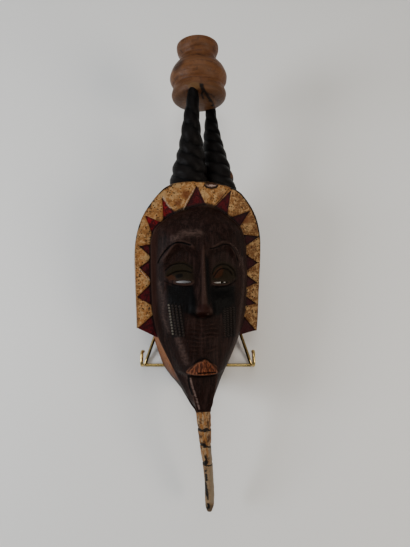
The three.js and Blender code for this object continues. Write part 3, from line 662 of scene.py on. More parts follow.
def shell_object():
    """Outer surface of the body: the face in front and plain walls back to the rim."""
    z = face_levels()[:, None]
    front, side = 128, 9
    u = np.linspace(-1, 1, front + 1)[None, :]
    spread = 0.62 * u + 0.38 * np.sin(u * math.pi / 2)
    left, right = along(FACE_EDGE, z, 1), along(FACE_EDGE, z, 2)
    rim_left, rim_right = along(RIM_EDGE, z, 1), along(RIM_EDGE, z, 2)
    limit = along(BODY_BACK, z)
    x = (left + right) / 2 + spread * (right - left) / 2
    whole = np.broadcast_to(z, x.shape)
    y = face_depth(x, whole)
    back_right = np.minimum(rim_depth(rim_right), limit)
    back_left = np.minimum(rim_depth(rim_left), limit)
    t = (np.arange(1, side + 1) / side)[None, :]
    right_x = right + (rim_right - right) * t**0.7
    right_y = y[:, -1:] + (back_right - y[:, -1:]) * t
    left_x = (left + (rim_left - left) * t**0.7)[:, ::-1]
    left_y = (y[:, :1] + (back_left - y[:, :1]) * t)[:, ::-1]
    # The walls keep the flats of the adze.
    level = np.broadcast_to(z, right_y.shape)
    right_x = right_x + 0.35 * ripple(right_y, level, 11, 13) * np.sin(t * math.pi)
    left_x = left_x + 0.35 * ripple(left_y, level, 12, 13) * np.sin(t * math.pi)
    xs = np.hstack((x, right_x, left_x))
    ys = np.hstack((y, right_y, left_y))
    rings = np.stack((xs, ys, np.broadcast_to(z, xs.shape)), axis=-1)
    points, faces = loft(rings)
    columns = rings.shape[1]
    slots = []
    for number in range(len(faces)):
        column = number % columns
        is_front = number < (len(rings) - 1) * columns and column < front
        is_end = number >= (len(rings) - 1) * columns
        slots.append(FACE if is_front or is_end else SHELL)
    return new_object("shell", points, faces, mask_materials(), slots)


def hollow_object():
    """Hollow behind the face, open through the rim."""
    bottom, top, levels, steps = -93, 47, 64, 44
    # The bowl starts at the sides at one depth, and closes in to another over the run to each end.
    side_depth, end_depth, end_run = 22, 34, 26
    rings = []
    for t in np.linspace(0, 1, levels):
        z = bottom + (top - bottom) * t
        left, right = along(RIM_EDGE, z, 1) + WALL, along(RIM_EDGE, z, 2) - WALL
        middle = (left + right) / 2
        u = np.linspace(-1, 1, steps + 1)
        x = middle + u * (right - left) / 2
        front = -(along(FACE_PROFILE, z) - WALL - 2.5)
        y = side_depth + (front - side_depth) * np.sqrt(1 - np.abs(u) ** 2.6)
        end = min(t, 1 - t) * (top - bottom)
        fade = math.sqrt(1 - (1 - min(end / end_run, 1)) ** 2)
        x = middle + (x - middle) * (0.55 + 0.45 * fade)
        gouged = 0.35 * ripple(x, np.full_like(x, z), 21, 9) * fade
        y = end_depth + (y - end_depth) * (0.12 + 0.88 * fade) + gouged
        ring = [(a, b, z) for a, b in zip(x, y)]
        for far in (right + 1.5, left - 1.5):
            back = rim_depth(far + (-1.5 if far > 0 else 1.5)) + 8
            ring.append((middle + (far - middle) * (0.6 + 0.4 * fade), back, z))
        rings.append(ring)
    points, faces = loft(rings)
    return new_object("hollow", points, faces, mask_materials(), [SHELL] * len(faces))


def slit_object(middle_x, middle_z, half, height):
    """Cutter for one eye: a thin slit, from in front of the lids straight through into the hollow."""
    steps = np.linspace(-1, 1, 21)
    rise = height * (1 - np.abs(steps) ** 3)
    upper = np.stack((middle_x + half * steps, middle_z + rise), axis=1)
    lower = np.stack((middle_x + half * steps, middle_z - rise), axis=1)[::-1]
    outline = np.vstack((upper, lower[1:-1]))
    points, faces = loft([[(x, y, z) for x, z in outline] for y in (-40, 20)])
    return new_object("slit", points, faces, mask_materials(), [FACE] * len(faces))


def flange_object(relief):
    """Flat border with its cut triangles, as a band from inside the face's wall out to the rim."""
    curve = rounded(FLANGE_OUTLINE, 24)
    reach = np.concatenate(([0], np.cumsum(np.linalg.norm(np.diff(curve, axis=0), axis=1))))
    around = 430
    places = np.linspace(0, reach[-1], around)
    outer = np.stack([np.interp(places, reach, curve[:, k]) for k in (0, 1)], axis=1)
    z = np.linspace(-50, 61.6, 400)
    left = np.stack((along(FACE_EDGE, z, 1), z), axis=1)
    right = np.stack((along(FACE_EDGE, z, 2), z), axis=1)[::-1]
    edge = np.vstack((left, right))
    centre = np.stack((np.full(len(edge), 0.5), np.minimum(edge[:, 1], 20)), axis=1)
    edge = centre + 0.9 * (edge - centre)
    travel = np.concatenate(([0], np.cumsum(np.linalg.norm(np.diff(edge, axis=0), axis=1))))
    inner = np.stack([np.interp(places / reach[-1] * travel[-1], travel, edge[:, k]) for k in (0, 1)], axis=1)
    foot = 26
    ends = []
    for corner, neck, at in ((outer[0], FLANGE_NECK[0], inner[0]), (outer[-1], FLANGE_NECK[1], inner[-1])):
        t = np.linspace(0, 1, foot, endpoint=False)[:, None]
        root = np.array((neck[0] * 0.86, -58.0))
        ends.append((np.array(neck) + (corner - np.array(neck)) * t, root + (at - root) * t))
    outer = np.vstack((ends[0][0], outer, ends[1][0][::-1]))
    inner = np.vstack((ends[0][1], inner, ends[1][1][::-1]))

    v = np.concatenate((np.linspace(0, 0.94, 32), (0.965, 0.985, 1.0)))[None, :, None]
    flat = inner[:, None, :] + (outer - inner)[:, None, :] * v
    from_rim = (1 - v[..., 0]) * np.linalg.norm(outer - inner, axis=1)[:, None]
    # The front edge is worn round, and the border is uneven from the knife.
    y = FLANGE_ROUND[0] * (1 - np.clip(from_rim / FLANGE_ROUND[1], 0, 1)) ** 2
    y = y + 0.16 * ripple(flat[..., 0], flat[..., 1], 31, 9)
    red = nearest_area(flat.reshape(-1, 2), RED_TRIANGLES).reshape(y.shape)
    y = y + relief * smooth(-0.35, 0.7, red) + 0.35 * np.exp(-((red / 0.5) ** 2))
    (cx, cz), (rx, rz), deep = FLANGE_CHIP
    hollow = 1 - ((flat[..., 0] - cx) / rx) ** 2 - ((flat[..., 1] - cz) / rz) ** 2
    y = np.maximum(y, deep * np.sqrt(np.clip(hollow, 0, 1)) + np.where(hollow > 0, 0.25, -9))

    rows = []
    for k in range(len(outer)):
        ring = [(p[0], d, p[1]) for p, d in zip(flat[k], y[k])]
        rim_front = y[k][-1]
        for t in (0.3, 0.6, 0.9):
            ring.append((outer[k][0], rim_front + (FLANGE_THICKNESS - 0.6 - rim_front) * t, outer[k][1]))
        for t in (0.98, 0.7, 0.35, 0.0):
            p = inner[k] + (outer[k] - inner[k]) * t
            ring.append((p[0], FLANGE_THICKNESS, p[1]))
        rows.append(ring)
    points, faces = loft(rows)
    columns = len(rows[0])
    front = v.shape[1] - 1
    slots = []
    for number in range(len(faces)):
        column = number % columns
        ring_face = number < (len(rows) - 1) * columns
        slots.append(FLANGE if ring_face and column < front + 4 else SHELL)
    return new_object("flange", points, faces, mask_materials(), slots)


def nearest_area(points, outlines):
    """Signed distance of points from several closed outlines, positive inside the nearest one."""
    return np.max([area_depth(points, outline) for outline in outlines], axis=0)


def spline_object(name, rows, radii=None):
    """Open poly curve through points, with a radius at each."""
    curve = bpy.data.curves.new(name, "CURVE")
    curve.dimensions = "3D"
    line = curve.splines.new("POLY")
    line.points.add(len(rows) - 1)
    for number, row in enumerate(rows):
        line.points[number].co = (*row[:3], 1)
        line.points[number].radius = 1 if radii is None else radii[number]
    made = bpy.data.objects.new(name, curve)
    bpy.context.scene.collection.objects.link(made)
    return made


def add(tree, kind, inputs=None, **settings):
    """Adds a node with its settings.

    An input is a value, a node for its first output, or a node and the name or number of an output.
    """
    made = tree.nodes.new(kind)
    for name, value in settings.items():
        setattr(made, name, value)
    for socket, value in (inputs or {}).items():
        if isinstance(value, bpy.types.Node):
            value = value.outputs[0]
        elif isinstance(value, tuple) and isinstance(value[0], bpy.types.Node):
            value = value[0].outputs[value[1]]
        if isinstance(value, bpy.types.NodeSocket):
            tree.links.new(value, made.inputs[socket])
        else:
            made.inputs[socket].default_value = value
    return made


SOFT = {"interpolation_type": "SMOOTHSTEP"}


def new_tree(name, sockets):
    """Geometry tree with a geometry socket at both ends and named inputs."""
    tree = bpy.data.node_groups.new(name, "GeometryNodeTree")
    tree.interface.new_socket(name="Geometry", in_out="INPUT", socket_type="NodeSocketGeometry")
    tree.interface.new_socket(name="Geometry", in_out="OUTPUT", socket_type="NodeSocketGeometry")
    for label, kind in sockets:
        tree.interface.new_socket(name=label, in_out="INPUT", socket_type=kind)
    return tree, tree.nodes.new("NodeGroupInput"), tree.nodes.new("NodeGroupOutput")


def apply_tree(made, tree, values):
    """Runs a tree on an object with values for its named inputs, and keeps the plain mesh."""
    step = made.modifiers.new(tree.name, "NODES")
    step.node_group = tree
    named = {s.name: s.identifier for s in tree.interface.items_tree if s.in_out == "INPUT"}
    for name, value in values.items():
        step[named[name]] = value
    return plain_mesh(made)


def finish_tree(tree, geometry, material, group_out):
    """Real geometry with its material at a tree's end."""
    real = add(tree, "GeometryNodeRealizeInstances", {"Geometry": geometry})
    shaded = add(tree, "GeometryNodeSetShadeSmooth", {"Geometry": real.outputs[0], "Shade Smooth": True})
    finished = add(tree, "GeometryNodeSetMaterial", {"Geometry": shaded.outputs[0], "Material": material})
    tree.links.new(finished.outputs[0], group_out.inputs[0])


def horn_tree():
    """Sweeps a round section along a curve and presses screw-like ribs into it."""
    tree, group_in, group_out = new_tree(
        "ribbed_horn",
        (("Sides", "NodeSocketInt"), ("Rings", "NodeSocketInt"), ("Rib pitch", "NodeSocketFloat"),
         ("Rib depth", "NodeSocketFloat"), ("Rib start", "NodeSocketFloat"), ("Starts", "NodeSocketFloat"),
         ("Material", "NodeSocketMaterial")),
    )
    even = add(tree, "GeometryNodeResampleCurve", {"Curve": group_in.outputs["Geometry"],
                                                   "Count": group_in.outputs["Rings"]})
    length = add(tree, "GeometryNodeSplineParameter")
    centre = add(tree, "GeometryNodeInputPosition")
    path = add(tree, "GeometryNodeStoreNamedAttribute",
               {"Geometry": even.outputs[0], "Name": "run", "Value": length.outputs["Length"]},
               data_type="FLOAT", domain="POINT")
    path = add(tree, "GeometryNodeStoreNamedAttribute",
               {"Geometry": path.outputs[0], "Name": "centre", "Value": centre.outputs[0]},
               data_type="FLOAT_VECTOR", domain="POINT")
    circle = add(tree, "GeometryNodeCurvePrimitiveCircle",
                 {"Resolution": group_in.outputs["Sides"], "Radius": 1.0})
    turn = add(tree, "GeometryNodeSplineParameter")
    section = add(tree, "GeometryNodeStoreNamedAttribute",
                  {"Geometry": circle.outputs[0], "Name": "around", "Value": turn.outputs["Factor"]},
                  data_type="FLOAT", domain="POINT")
    swept = add(tree, "GeometryNodeCurveToMesh",
                {"Curve": path.outputs[0], "Profile Curve": section.outputs[0], "Fill Caps": True,
                 "Scale": add(tree, "GeometryNodeInputRadius").outputs[0]})
    run = add(tree, "GeometryNodeInputNamedAttribute", {"Name": "run"}, data_type="FLOAT")
    around = add(tree, "GeometryNodeInputNamedAttribute", {"Name": "around"}, data_type="FLOAT")
    middle = add(tree, "GeometryNodeInputNamedAttribute", {"Name": "centre"}, data_type="FLOAT_VECTOR")
    turns = add(tree, "ShaderNodeMath", {0: run.outputs[0], 1: group_in.outputs["Rib pitch"]},
                operation="DIVIDE")
    turns = add(tree, "ShaderNodeMath",
                {0: around.outputs[0], 1: group_in.outputs["Starts"], 2: turns.outputs[0]},
                operation="MULTIPLY_ADD")
    turns = add(tree, "ShaderNodeMath", {0: turns.outputs[0], 1: group_in.outputs["Rib start"]},
                operation="ADD")
    # The carver's ribs wander by up to a third of their pitch, over about 11 mm.
    wobble = add(tree, "ShaderNodeTexNoise", {"Scale": 0.09, "Detail": 1.0})
    turns = add(tree, "ShaderNodeMath", {0: wobble.outputs["Fac"], 1: 0.35, 2: turns.outputs[0]},
                operation="MULTIPLY_ADD")
    phase = add(tree, "ShaderNodeMath", {0: turns.outputs[0], 1: 0.5}, operation="PINGPONG")
    # The ping-pong is 0 in the groove and 0.5 on the crest; a power rounds the crest.
    from_crest = add(tree, "ShaderNodeMath", {0: phase.outputs[0], 1: -2.0, 2: 1.0}, operation="MULTIPLY_ADD")
    rounded_rib = add(tree, "ShaderNodeMath", {0: from_crest.outputs[0], 1: 1.7}, operation="POWER")
    cut = add(tree, "ShaderNodeMath", {0: rounded_rib.outputs[0], 1: group_in.outputs["Rib depth"]},
              operation="MULTIPLY")
    lift = add(tree, "ShaderNodeMath", {0: group_in.outputs["Rib depth"], 1: 0.35, 2: 1.0},
               operation="MULTIPLY_ADD")
    size = add(tree, "ShaderNodeMath", {0: lift.outputs[0], 1: cut.outputs[0]}, operation="SUBTRACT")
    here = add(tree, "GeometryNodeInputPosition")
    arm = add(tree, "ShaderNodeVectorMath", {0: here.outputs[0], 1: middle.outputs[0]}, operation="SUBTRACT")
    arm = add(tree, "ShaderNodeVectorMath", {0: arm.outputs[0], "Scale": size.outputs[0]}, operation="SCALE")
    place = add(tree, "ShaderNodeVectorMath", {0: middle.outputs[0], 1: arm.outputs[0]}, operation="ADD")
    ribbed = add(tree, "GeometryNodeSetPosition",
                 {"Geometry": swept.outputs[0], "Position": place.outputs[0]})
    finish_tree(tree, ribbed.outputs[0], group_in.outputs["Material"], group_out)
    return tree


def horn_object(name, stations, start, sizes):
    rows = rounded(stations, 12)
    made = spline_object(name, rows, rows[:, 3])
    made = apply_tree(made, bpy.data.node_groups["ribbed_horn"], {
        "Sides": sizes.horn_sides, "Rings": HORN_RINGS, "Rib pitch": sizes.rib_pitch / MM,
        "Rib depth": sizes.rib_depth, "Rib start": start, "Starts": HORN_STARTS,
        "Material": bpy.data.materials["soot_black_paint"],
    })
    return listed(made, HORN)


def listed(made, slot):
    """Gives an object the mask's whole material list and puts all its faces on one of them."""
    work = bmesh.new()
    work.from_mesh(made.data)
    bmesh.ops.remove_doubles(work, verts=work.verts, dist=1e-4)
    bmesh.ops.recalc_face_normals(work, faces=work.faces)
    work.to_mesh(made.data)
    work.free()
    made.data.materials.clear()
    for material in mask_materials():
        made.data.materials.append(material)
    made.data.polygons.foreach_set("material_index", [slot] * len(made.data.polygons))
    return made


def spool_object():
    """Turned and hand-trimmed spool in three swellings."""
    profile = rounded(SPOOL_PROFILE[1:], 5)
    sides = 84
    angle = np.arange(sides) * 2 * math.pi / sides
    lean = Matrix.Translation(SPOOL_AT) @ Matrix.Rotation(SPOOL_LEAN, 4, "Y")
    rings = []
    for height, radius in profile:
        trim = 0.984 + 0.006 * ripple(angle * 9, np.full(sides, height * 1.3), 41, 11)
        size = radius * trim
        ring = zip(size * np.cos(angle), size * np.sin(angle), np.full(sides, height))
        rings.append([tuple(lean @ Vector(p)) for p in ring])
    points, faces = loft(rings)
    return new_object("spool", points, faces, mask_materials(), [SPOOL] * len(faces))


def beard_object():
    """Rod whittled with a knife, so its section is a soft ten-sided one with three scored bands."""
    z = np.linspace(BEARD[-1][2], BEARD[0][2], 150)
    table = BEARD[::-1]
    order = [(row[2], row[0], row[1], row[3], row[4]) for row in table]
    sides = 30
    angle = np.arange(sides) * 2 * math.pi / sides
    flats = 1 + 0.035 * np.cos(10 * angle + math.pi)
    rings = []
    for level in z:
        x, y, half, deep = (float(along(order, level, k)) for k in (1, 2, 3, 4))
        score = 1.0
        for band in BEARD_BANDS:
            score -= BAND_CUT[0] * math.exp(-(((level - band) / BAND_CUT[1]) ** 2))
        knife = 1 + 0.03 * ripple(angle * 4, np.full(sides, level), 51, 8)
        size = flats * knife * score
        xs, ys = x + half * size * np.cos(angle), y + deep * size * np.sin(angle)
        rings.append([(a, b, level) for a, b in zip(xs, ys)])
    points, faces = loft(rings)
    return new_object("beard", points, faces, mask_materials(), [BEARD_PAINT] * len(faces))


def scar_tree():
    """Sets a small raised block on each point of a mesh, turned to the point's normal."""
    tree, group_in, group_out = new_tree("scar_marks", (("Material", "NodeSocketMaterial"),))
    block = add(tree, "GeometryNodeMeshCube",
                {"Size": (1, 1, 1), "Vertices X": 2, "Vertices Y": 2, "Vertices Z": 2})
    soft = add(tree, "GeometryNodeSubdivisionSurface", {"Mesh": block, "Level": 2, "Edge Crease": 0.6})
    out = add(tree, "GeometryNodeInputNamedAttribute", {"Name": "out"}, data_type="FLOAT_VECTOR")
    size = add(tree, "GeometryNodeInputNamedAttribute", {"Name": "block"}, data_type="FLOAT_VECTOR")
    facing = add(tree, "FunctionNodeAlignRotationToVector", {"Vector": out}, axis="Z")
    copies = add(tree, "GeometryNodeInstanceOnPoints",
                 {"Points": group_in, "Instance": soft, "Rotation": facing, "Scale": size})
    finish_tree(tree, copies.outputs[0], group_in.outputs["Material"], group_out)
    return tree


def scar_object():
    """The two fields of marks on the cheeks, sunk into the surface of the face."""
    spots, blocks = [], []
    for (x0, z0), across, down, columns, rows, (wide, high) in SCAR_GRIDS:
        for c in range(columns):
            for r in range(rows):
                spots.append((x0 + across[0] * c + down[0] * r, z0 + across[1] * c + down[1] * r))
                blocks.append((wide, high, SCAR_BLOCK["tall"]))
    x, z = np.array(spots).T
    step = 0.8

    def depth(px, pz):
        return face_depth(px[:, None], pz[:, None])[:, 0]

    slope_x = (depth(x + step, z) - depth(x - step, z)) / (2 * step)
    slope_z = (depth(x, z + step) - depth(x, z - step)) / (2 * step)
    normal = np.stack((slope_x, -np.ones(len(x)), slope_z), axis=1)
    normal /= np.linalg.norm(normal, axis=1)[:, None]
    places = np.stack((x, depth(x, z), z), axis=1) - normal * SCAR_BLOCK["sunk"]
    mesh = bpy.data.meshes.new("scar_marks")
    mesh.from_pydata([tuple(p) for p in places], [], [])
    for name, rows in (("out", normal), ("block", np.array(blocks, float))):
        kept = mesh.attributes.new(name, "FLOAT_VECTOR", "POINT")
        kept.data.foreach_set("vector", rows.ravel())
    made = bpy.data.objects.new("scar_marks", mesh)
    bpy.context.scene.collection.objects.link(made)
    made = apply_tree(made, bpy.data.node_groups["scar_marks"],
                      {"Material": bpy.data.materials["rubbed_brown_paint"]})
    return listed(made, FACE)


def loose_slivers(work, least=12):
    """Faces of every loose bit of a mesh that has fewer faces than a real form would."""
    seen, slivers = set(), []
    for first in work.faces:
        if first in seen:
            continue
        island = [first]
        seen.add(first)
        for reached in island:
            for edge in reached.edges:
                fresh = [face for face in edge.link_faces if face not in seen]
                seen.update(fresh)
                island += fresh
        if len(island) < least:
            slivers += island
    return slivers


def weld(made, reach=0.02):
    """Joins points that the cuts have left within hundredths of a millimetre, and drops loose slivers."""
    work = bmesh.new()
    work.from_mesh(made.data)
    bmesh.ops.remove_doubles(work, verts=work.verts, dist=reach)
    bmesh.ops.dissolve_degenerate(work, edges=work.edges, dist=reach / 4)
    bmesh.ops.holes_fill(work, edges=work.edges, sides=4)
    bmesh.ops.triangulate(work, faces=[face for face in work.faces if len(face.verts) > 4])
    bmesh.ops.delete(work, geom=loose_slivers(work), context="FACES")
    work.to_mesh(made.data)
    work.free()


def neighbour_mean(values, edges, count):
    """Mean over each point's neighbours along the mesh's edges."""
    total = np.zeros_like(values)
    np.add.at(total, edges[:, 0], values[edges[:, 1]])
    np.add.at(total, edges[:, 1], values[edges[:, 0]])
    return total / np.maximum(count, 1)[:, None]


def patch_depth(points, place, squash, radius):
    """How far points lie inside a squashed round patch, negative outside."""
    return radius - np.linalg.norm((points - place) * squash, axis=1)


# Attributes that the paints read, in mm, with the lines or areas that they come from. Broad lines and wide
# areas are kept further out from their edges.
LINE_MARKS = {
    "rim_ink": RIM_INK_AND_SHADOW, "pale_edge": EDGE_HIGHLIGHTS, "dark_edge": EDGE_SHADE_AND_LINE, "chip_ink": CHIP_INK,
    "brow_ink": BROW_LINES + (MOUTH_GAP, CHIN_LINE), "lid_ink": LID_LINES, "wear": HIGHLIGHT_LINES,
    "dots": SCAR_HIGHLIGHT_LINE, "rod_ink": ROD_INK,
}
BROAD_MARKS = {"sheen": PAINTED_SHEEN_LINES, "grey": ROD_SHADE}
AREA_MARKS = {
    "lid": LID_AREAS, "corner": CORNER_AREAS, "scar": SCAR_AREAS, "dull": DULL_AREAS, "lips": (LIP_AREA,),
    "rod_stain": ROD_STAIN,
}
WIDE_MARKS = {"red": RED_TRIANGLES, "cheek": CHEEK_AREAS}


def mark_surface(made):
    """Keeps on each point how sharp it is and how far it lies from painted outlines, for the materials."""
    mesh = made.data
    points = len(mesh.vertices)
    place, normal = np.empty(points * 3), np.empty(points * 3)
    mesh.vertices.foreach_get("co", place)
    mesh.vertices.foreach_get("normal", normal)
    place, normal = place.reshape(-1, 3), normal.reshape(-1, 3)
    edges = np.empty(len(mesh.edges) * 2, np.int32)
    mesh.edges.foreach_get("vertices", edges)
    edges = edges.reshape(-1, 2)
    count = np.bincount(edges.ravel(), minlength=points).astype(float)
    even = place.copy()
    for _ in range(8):
        even = neighbour_mean(even, edges, count)
    flat = place[:, (0, 2)]
    spool = place - np.array(SPOOL_AT)
    outline = np.vstack((FLANGE_NECK[0], rounded(FLANGE_OUTLINE, 8), FLANGE_NECK[1]))
    from_chip = flat - np.array(FLANGE_CHIP[0])
    stains = [radius - np.linalg.norm(flat - spot, axis=1) for spot, radius in STAIN_SPOTS]
    split = np.clip(ink_depth(spool[:, :2], SPOOL_SPLIT), -5, 1)
    # The dark line at the foot of the face is 0.4 mm wide, and 2.6 mm over the forehead.
    root = 0.4 + 2.2 * smooth(42, 56, flat[:, 1])
    marks = {
        "sharp": np.einsum("ij,ij->i", place - even, normal),
        "rim": np.clip(line_distance(flat, outline), 0, 20),
        "root": root - line_distance(flat, FACE_LINE),
        "chip": patch_depth(from_chip, *CHIP_PAINT),
        "tip": patch_depth(flat, *TIP_PAINT),
        "overpaint": np.maximum(
            OVERPAINT["below"] - place[:, 2],
            np.minimum(place[:, 2] - OVERPAINT["above"], OVERPAINT["front"] - place[:, 1]),
        ),
        "split": np.where(spool[:, 2] < SPOOL_FOOT, split, -5),
        "stain": np.max(stains + [patch_depth(spool, *SPOOL_STAIN)], axis=0),
        "bare": patch_depth(spool, *SPOOL_BARE),
    }
    for table, low, high in ((LINE_MARKS, -3, 1), (BROAD_MARKS, -5, 3)):
        for name, lines in table.items():
            marks[name] = np.clip(ink_depth(flat, lines), low, high)
    for table, reach in ((AREA_MARKS, 5), (WIDE_MARKS, 9)):
        for name, areas in table.items():
            marks[name] = np.clip(nearest_area(flat, areas), -reach, reach)
    for name, values in marks.items():
        kept = mesh.attributes.new(name, "FLOAT", "POINT")
        kept.data.foreach_set("value", values.astype(np.float32))


def shade(made, angle):
    """Smooth shading that keeps carved edges crisp."""
    mesh = made.data
    mesh.polygons.foreach_set("use_smooth", [True] * len(mesh.polygons))
    mesh.set_sharp_from_angle(angle=math.radians(angle))


def place_in_row(made, matrix):
    made.data.transform(matrix)
    made.data.update()


def new_material(name):
    material = bpy.data.materials.new(name)
    material.use_nodes = True
    tree = material.node_tree
    return tree, tree.nodes["Principled BSDF"]


def mask_place(tree):
    """Object coordinates turned back into the mask's own millimetres."""
    back = mask_to_row().inverted()
    return add(tree, "ShaderNodeMapping", {
        "Vector": (add(tree, "ShaderNodeTexCoord"), "Object"), "Location": back.to_translation(),
        "Rotation": back.to_euler("XYZ"), "Scale": (1 / MM,) * 3,
    })


def areas_of(tree, noise, rows):
    """Painted areas kept on the mesh, faded over an edge that a noise makes ragged.

    A row has the attribute's name, the raggedness in mm, where the paint starts and is full, and how strong
    it is.
    """
    ragged = add(tree, "ShaderNodeMath", {0: noise, 1: 2.0, 2: -1.0}, operation="MULTIPLY_ADD")
    areas = {}
    for name, amount, start, end, most in rows:
        kept = (add(tree, "ShaderNodeAttribute", attribute_name=name), "Fac")
        edge = add(tree, "ShaderNodeMath", {0: ragged, 1: amount, 2: kept}, operation="MULTIPLY_ADD")
        areas[name] = add(tree, "ShaderNodeMapRange", {0: edge, 1: start, 2: end, 4: most}, **SOFT)
    return areas


def coats(tree, ground, layers):
    """Lays coats of colour over a ground.

    A coat has a mask, the values where it starts and is full with its strength, and a colour. A ready mask
    has no such values.
    """
    for mask, *fade, colour in layers:
        if fade:
            start, full, most = fade
            mask = add(tree, "ShaderNodeMapRange", {0: mask, 1: start, 2: full, 4: most}, **SOFT)
        if isinstance(colour, str):
            colour = linear(colour)
        ground = (add(tree, "ShaderNodeMix", {0: mask, 6: ground, 7: colour}, data_type="RGBA"), 2)
    return ground


def finish(tree, surface, colour, rough, heights, shine):
    """Links colour, a roughness that a pattern sets between two values, and a chain of heights in metres."""
    pattern, low, high = rough
    roughness = add(tree, "ShaderNodeMapRange", {0: pattern, 1: 0.3, 2: 0.7, 3: low, 4: high}, clamp=False)
    normal = None
    for height, depth in heights:
        inputs = {"Height": height, "Distance": depth, "Strength": 1.0}
        if normal is not None:
            inputs["Normal"] = normal
        normal = add(tree, "ShaderNodeBump", inputs)
    tree.links.new(colour[0].outputs[colour[1]], surface.inputs["Base Color"])
    tree.links.new(roughness.outputs[0], surface.inputs["Roughness"])
    tree.links.new(normal.outputs[0], surface.inputs["Normal"])
    surface.inputs["Specular IOR Level"].default_value = shine


def brown_paint(colours):
    """Thin brown paint on carved hardwood, rubbed with oil: nearly black, with a painted sheen on curves."""
    tree, surface = new_material("rubbed_brown_paint")
    place = mask_place(tree)
    axes = add(tree, "ShaderNodeSeparateXYZ", {"Vector": place})
    # Clouds of handling 14 mm across, pore lines 1 mm wide and streaks 3 mm wide along the mask, brush
    # specks of 0.6 mm.
    cloud = add(tree, "ShaderNodeTexNoise", {"Vector": place, "Scale": 0.07, "Detail": 4.0})
    along_grain = add(tree, "ShaderNodeMapping", {"Vector": place, "Scale": (1, 1, 0.09)})
    grain = add(tree, "ShaderNodeTexNoise", {"Vector": along_grain, "Scale": 0.9, "Detail": 5.0})
    streak = add(tree, "ShaderNodeTexNoise", {"Vector": along_grain, "Scale": 0.33, "Detail": 3.0})
    fine = add(tree, "ShaderNodeTexNoise", {"Vector": place, "Scale": 1.6, "Detail": 3.0})
    # Fine file marks that lean across the face, 1.3 mm apart.
    hatch = add(tree, "ShaderNodeMapping", {"Vector": place, "Scale": (0.3, 1, 1), "Rotation": (0, 0.25, 0)})
    hatch = add(tree, "ShaderNodeTexNoise", {"Vector": hatch, "Scale": 0.75, "Detail": 2.0})
    # Knife strokes across the lip, 1.4 mm apart.
    cuts = add(tree, "ShaderNodeMapping", {"Vector": place, "Scale": (1, 1, 0.3), "Rotation": (0, 0.35, 0)})
    cuts = add(tree, "ShaderNodeTexNoise", {"Vector": cuts, "Scale": 0.7, "Detail": 2.0})
    sharp = (add(tree, "ShaderNodeAttribute", attribute_name="sharp"), "Fac")
    at = areas_of(tree, fine, (
        ("lid", 1.2, -2.2, 2.2, 0.9), ("corner", 0.9, -0.8, 1.2, 0.9), ("cheek", 1.2, -1.6, 1.6, 0.95),
        ("lips", 0.5, -0.4, 0.3, 1.0), ("brow_ink", 0.2, -0.3, 0.25, 1.0), ("lid_ink", 0.3, -0.4, 0.3, 0.9),
        ("scar", 0.8, -0.8, 0.8, 0.85), ("wear", 1.2, -0.5, 0.6, 0.85), ("sheen", 1.2, -4.6, 4.0, 1.0),
        ("tip", 0.6, -1.5, 0.6, 0.8), ("dots", 0.0, -0.2, 0.2, 1.0), ("dull", 0.8, -2.0, 2.0, 1.0),
    ))
    in_scar = add(tree, "ShaderNodeMath", {0: at["scar"], 1: sharp}, operation="MULTIPLY")
    # Painted highlights on the tops of the scar blocks in the first column.
    dots = add(tree, "ShaderNodeMath", {0: at["dots"], 1: sharp}, operation="MULTIPLY")
    dots = add(tree, "ShaderNodeMath", {0: dots, 1: fine}, operation="MULTIPLY")
    # Painted sheen: broad pale stretches on the forehead, the edges of the face and the chin, broken by the
    # file marks.
    painted_sheen = add(tree, "ShaderNodeMath", {0: at["sheen"], 1: hatch}, operation="MULTIPLY")
    # Painted highlights along the ridges of the nose, brow, chin and lower lip, broken by the file marks.
    wear = add(tree, "ShaderNodeMath", {0: at["wear"], 1: hatch}, operation="MULTIPLY")
    matt = add(tree, "ShaderNodeMath", {0: at["dull"], 1: 1.2, 2: fine}, operation="MULTIPLY_ADD")
    lip_rim_highlight = (add(tree, "ShaderNodeAttribute", attribute_name="lips"), "Fac")
    # Lip paint: knife strokes, dark specks, a painted highlight just inside the outline, darker in the
    # creases.
    lip = coats(tree, colours.lip, [
        (cuts, 0.44, 0.58, 0.85, "#834a30"), (fine, 0.46, 0.62, 0.7, "#1f0e09"),
        (lip_rim_highlight, 1.6, 0.4, 0.4, "#7d5540"), (sharp, -0.02, -0.3, 0.7, "#0e0705"),
    ])
    colour = coats(tree, colours.face, [
        (streak, 0.46, 0.62, 0.8, "#2a1c19"),
        (grain, 0.48, 0.6, 0.75, "#0b0605"),
        (fine, 0.52, 0.66, 0.6, "#33241f"),
        (cloud, 0.48, 0.72, 0.5, "#22120e"),
        ((axes, "X"), -35.0, -41.0, 0.6, "#2c1710"),
        # Painted sheen.
        (painted_sheen, 0.1, 0.72, 0.85, "#4a3a34"),
        (sharp, 0.07, 0.5, 0.6, colours.rubbed),
        (sharp, -0.05, -0.5, 0.8, "#060302"),
        (at["lid"], colours.lid),
        (at["corner"], colours.ochre),
        (at["cheek"], colours.soot),
        (at["scar"], "#0a0706"),
        (in_scar, 0.04, 0.25, 0.42, "#38312c"),
        # Painted highlights on the scar blocks.
        (dots, 0.05, 0.2, 0.75, "#605b52"),
        (at["tip"], "#220d09"),
        # Painted highlights on the ridges.
        (wear, 0.12, 0.56, 0.9, "#6c5a54"),
        (at["lips"], lip),
        (at["lid_ink"], "#060403"),
        (at["brow_ink"], "#030202"),
    ])
    heights = ((grain, 0.0003), (hatch, 0.0003), (fine, 0.0002), (cloud, 0.0006))
    finish(tree, surface, colour, (matt, 0.36, 0.5), heights, 0.05)


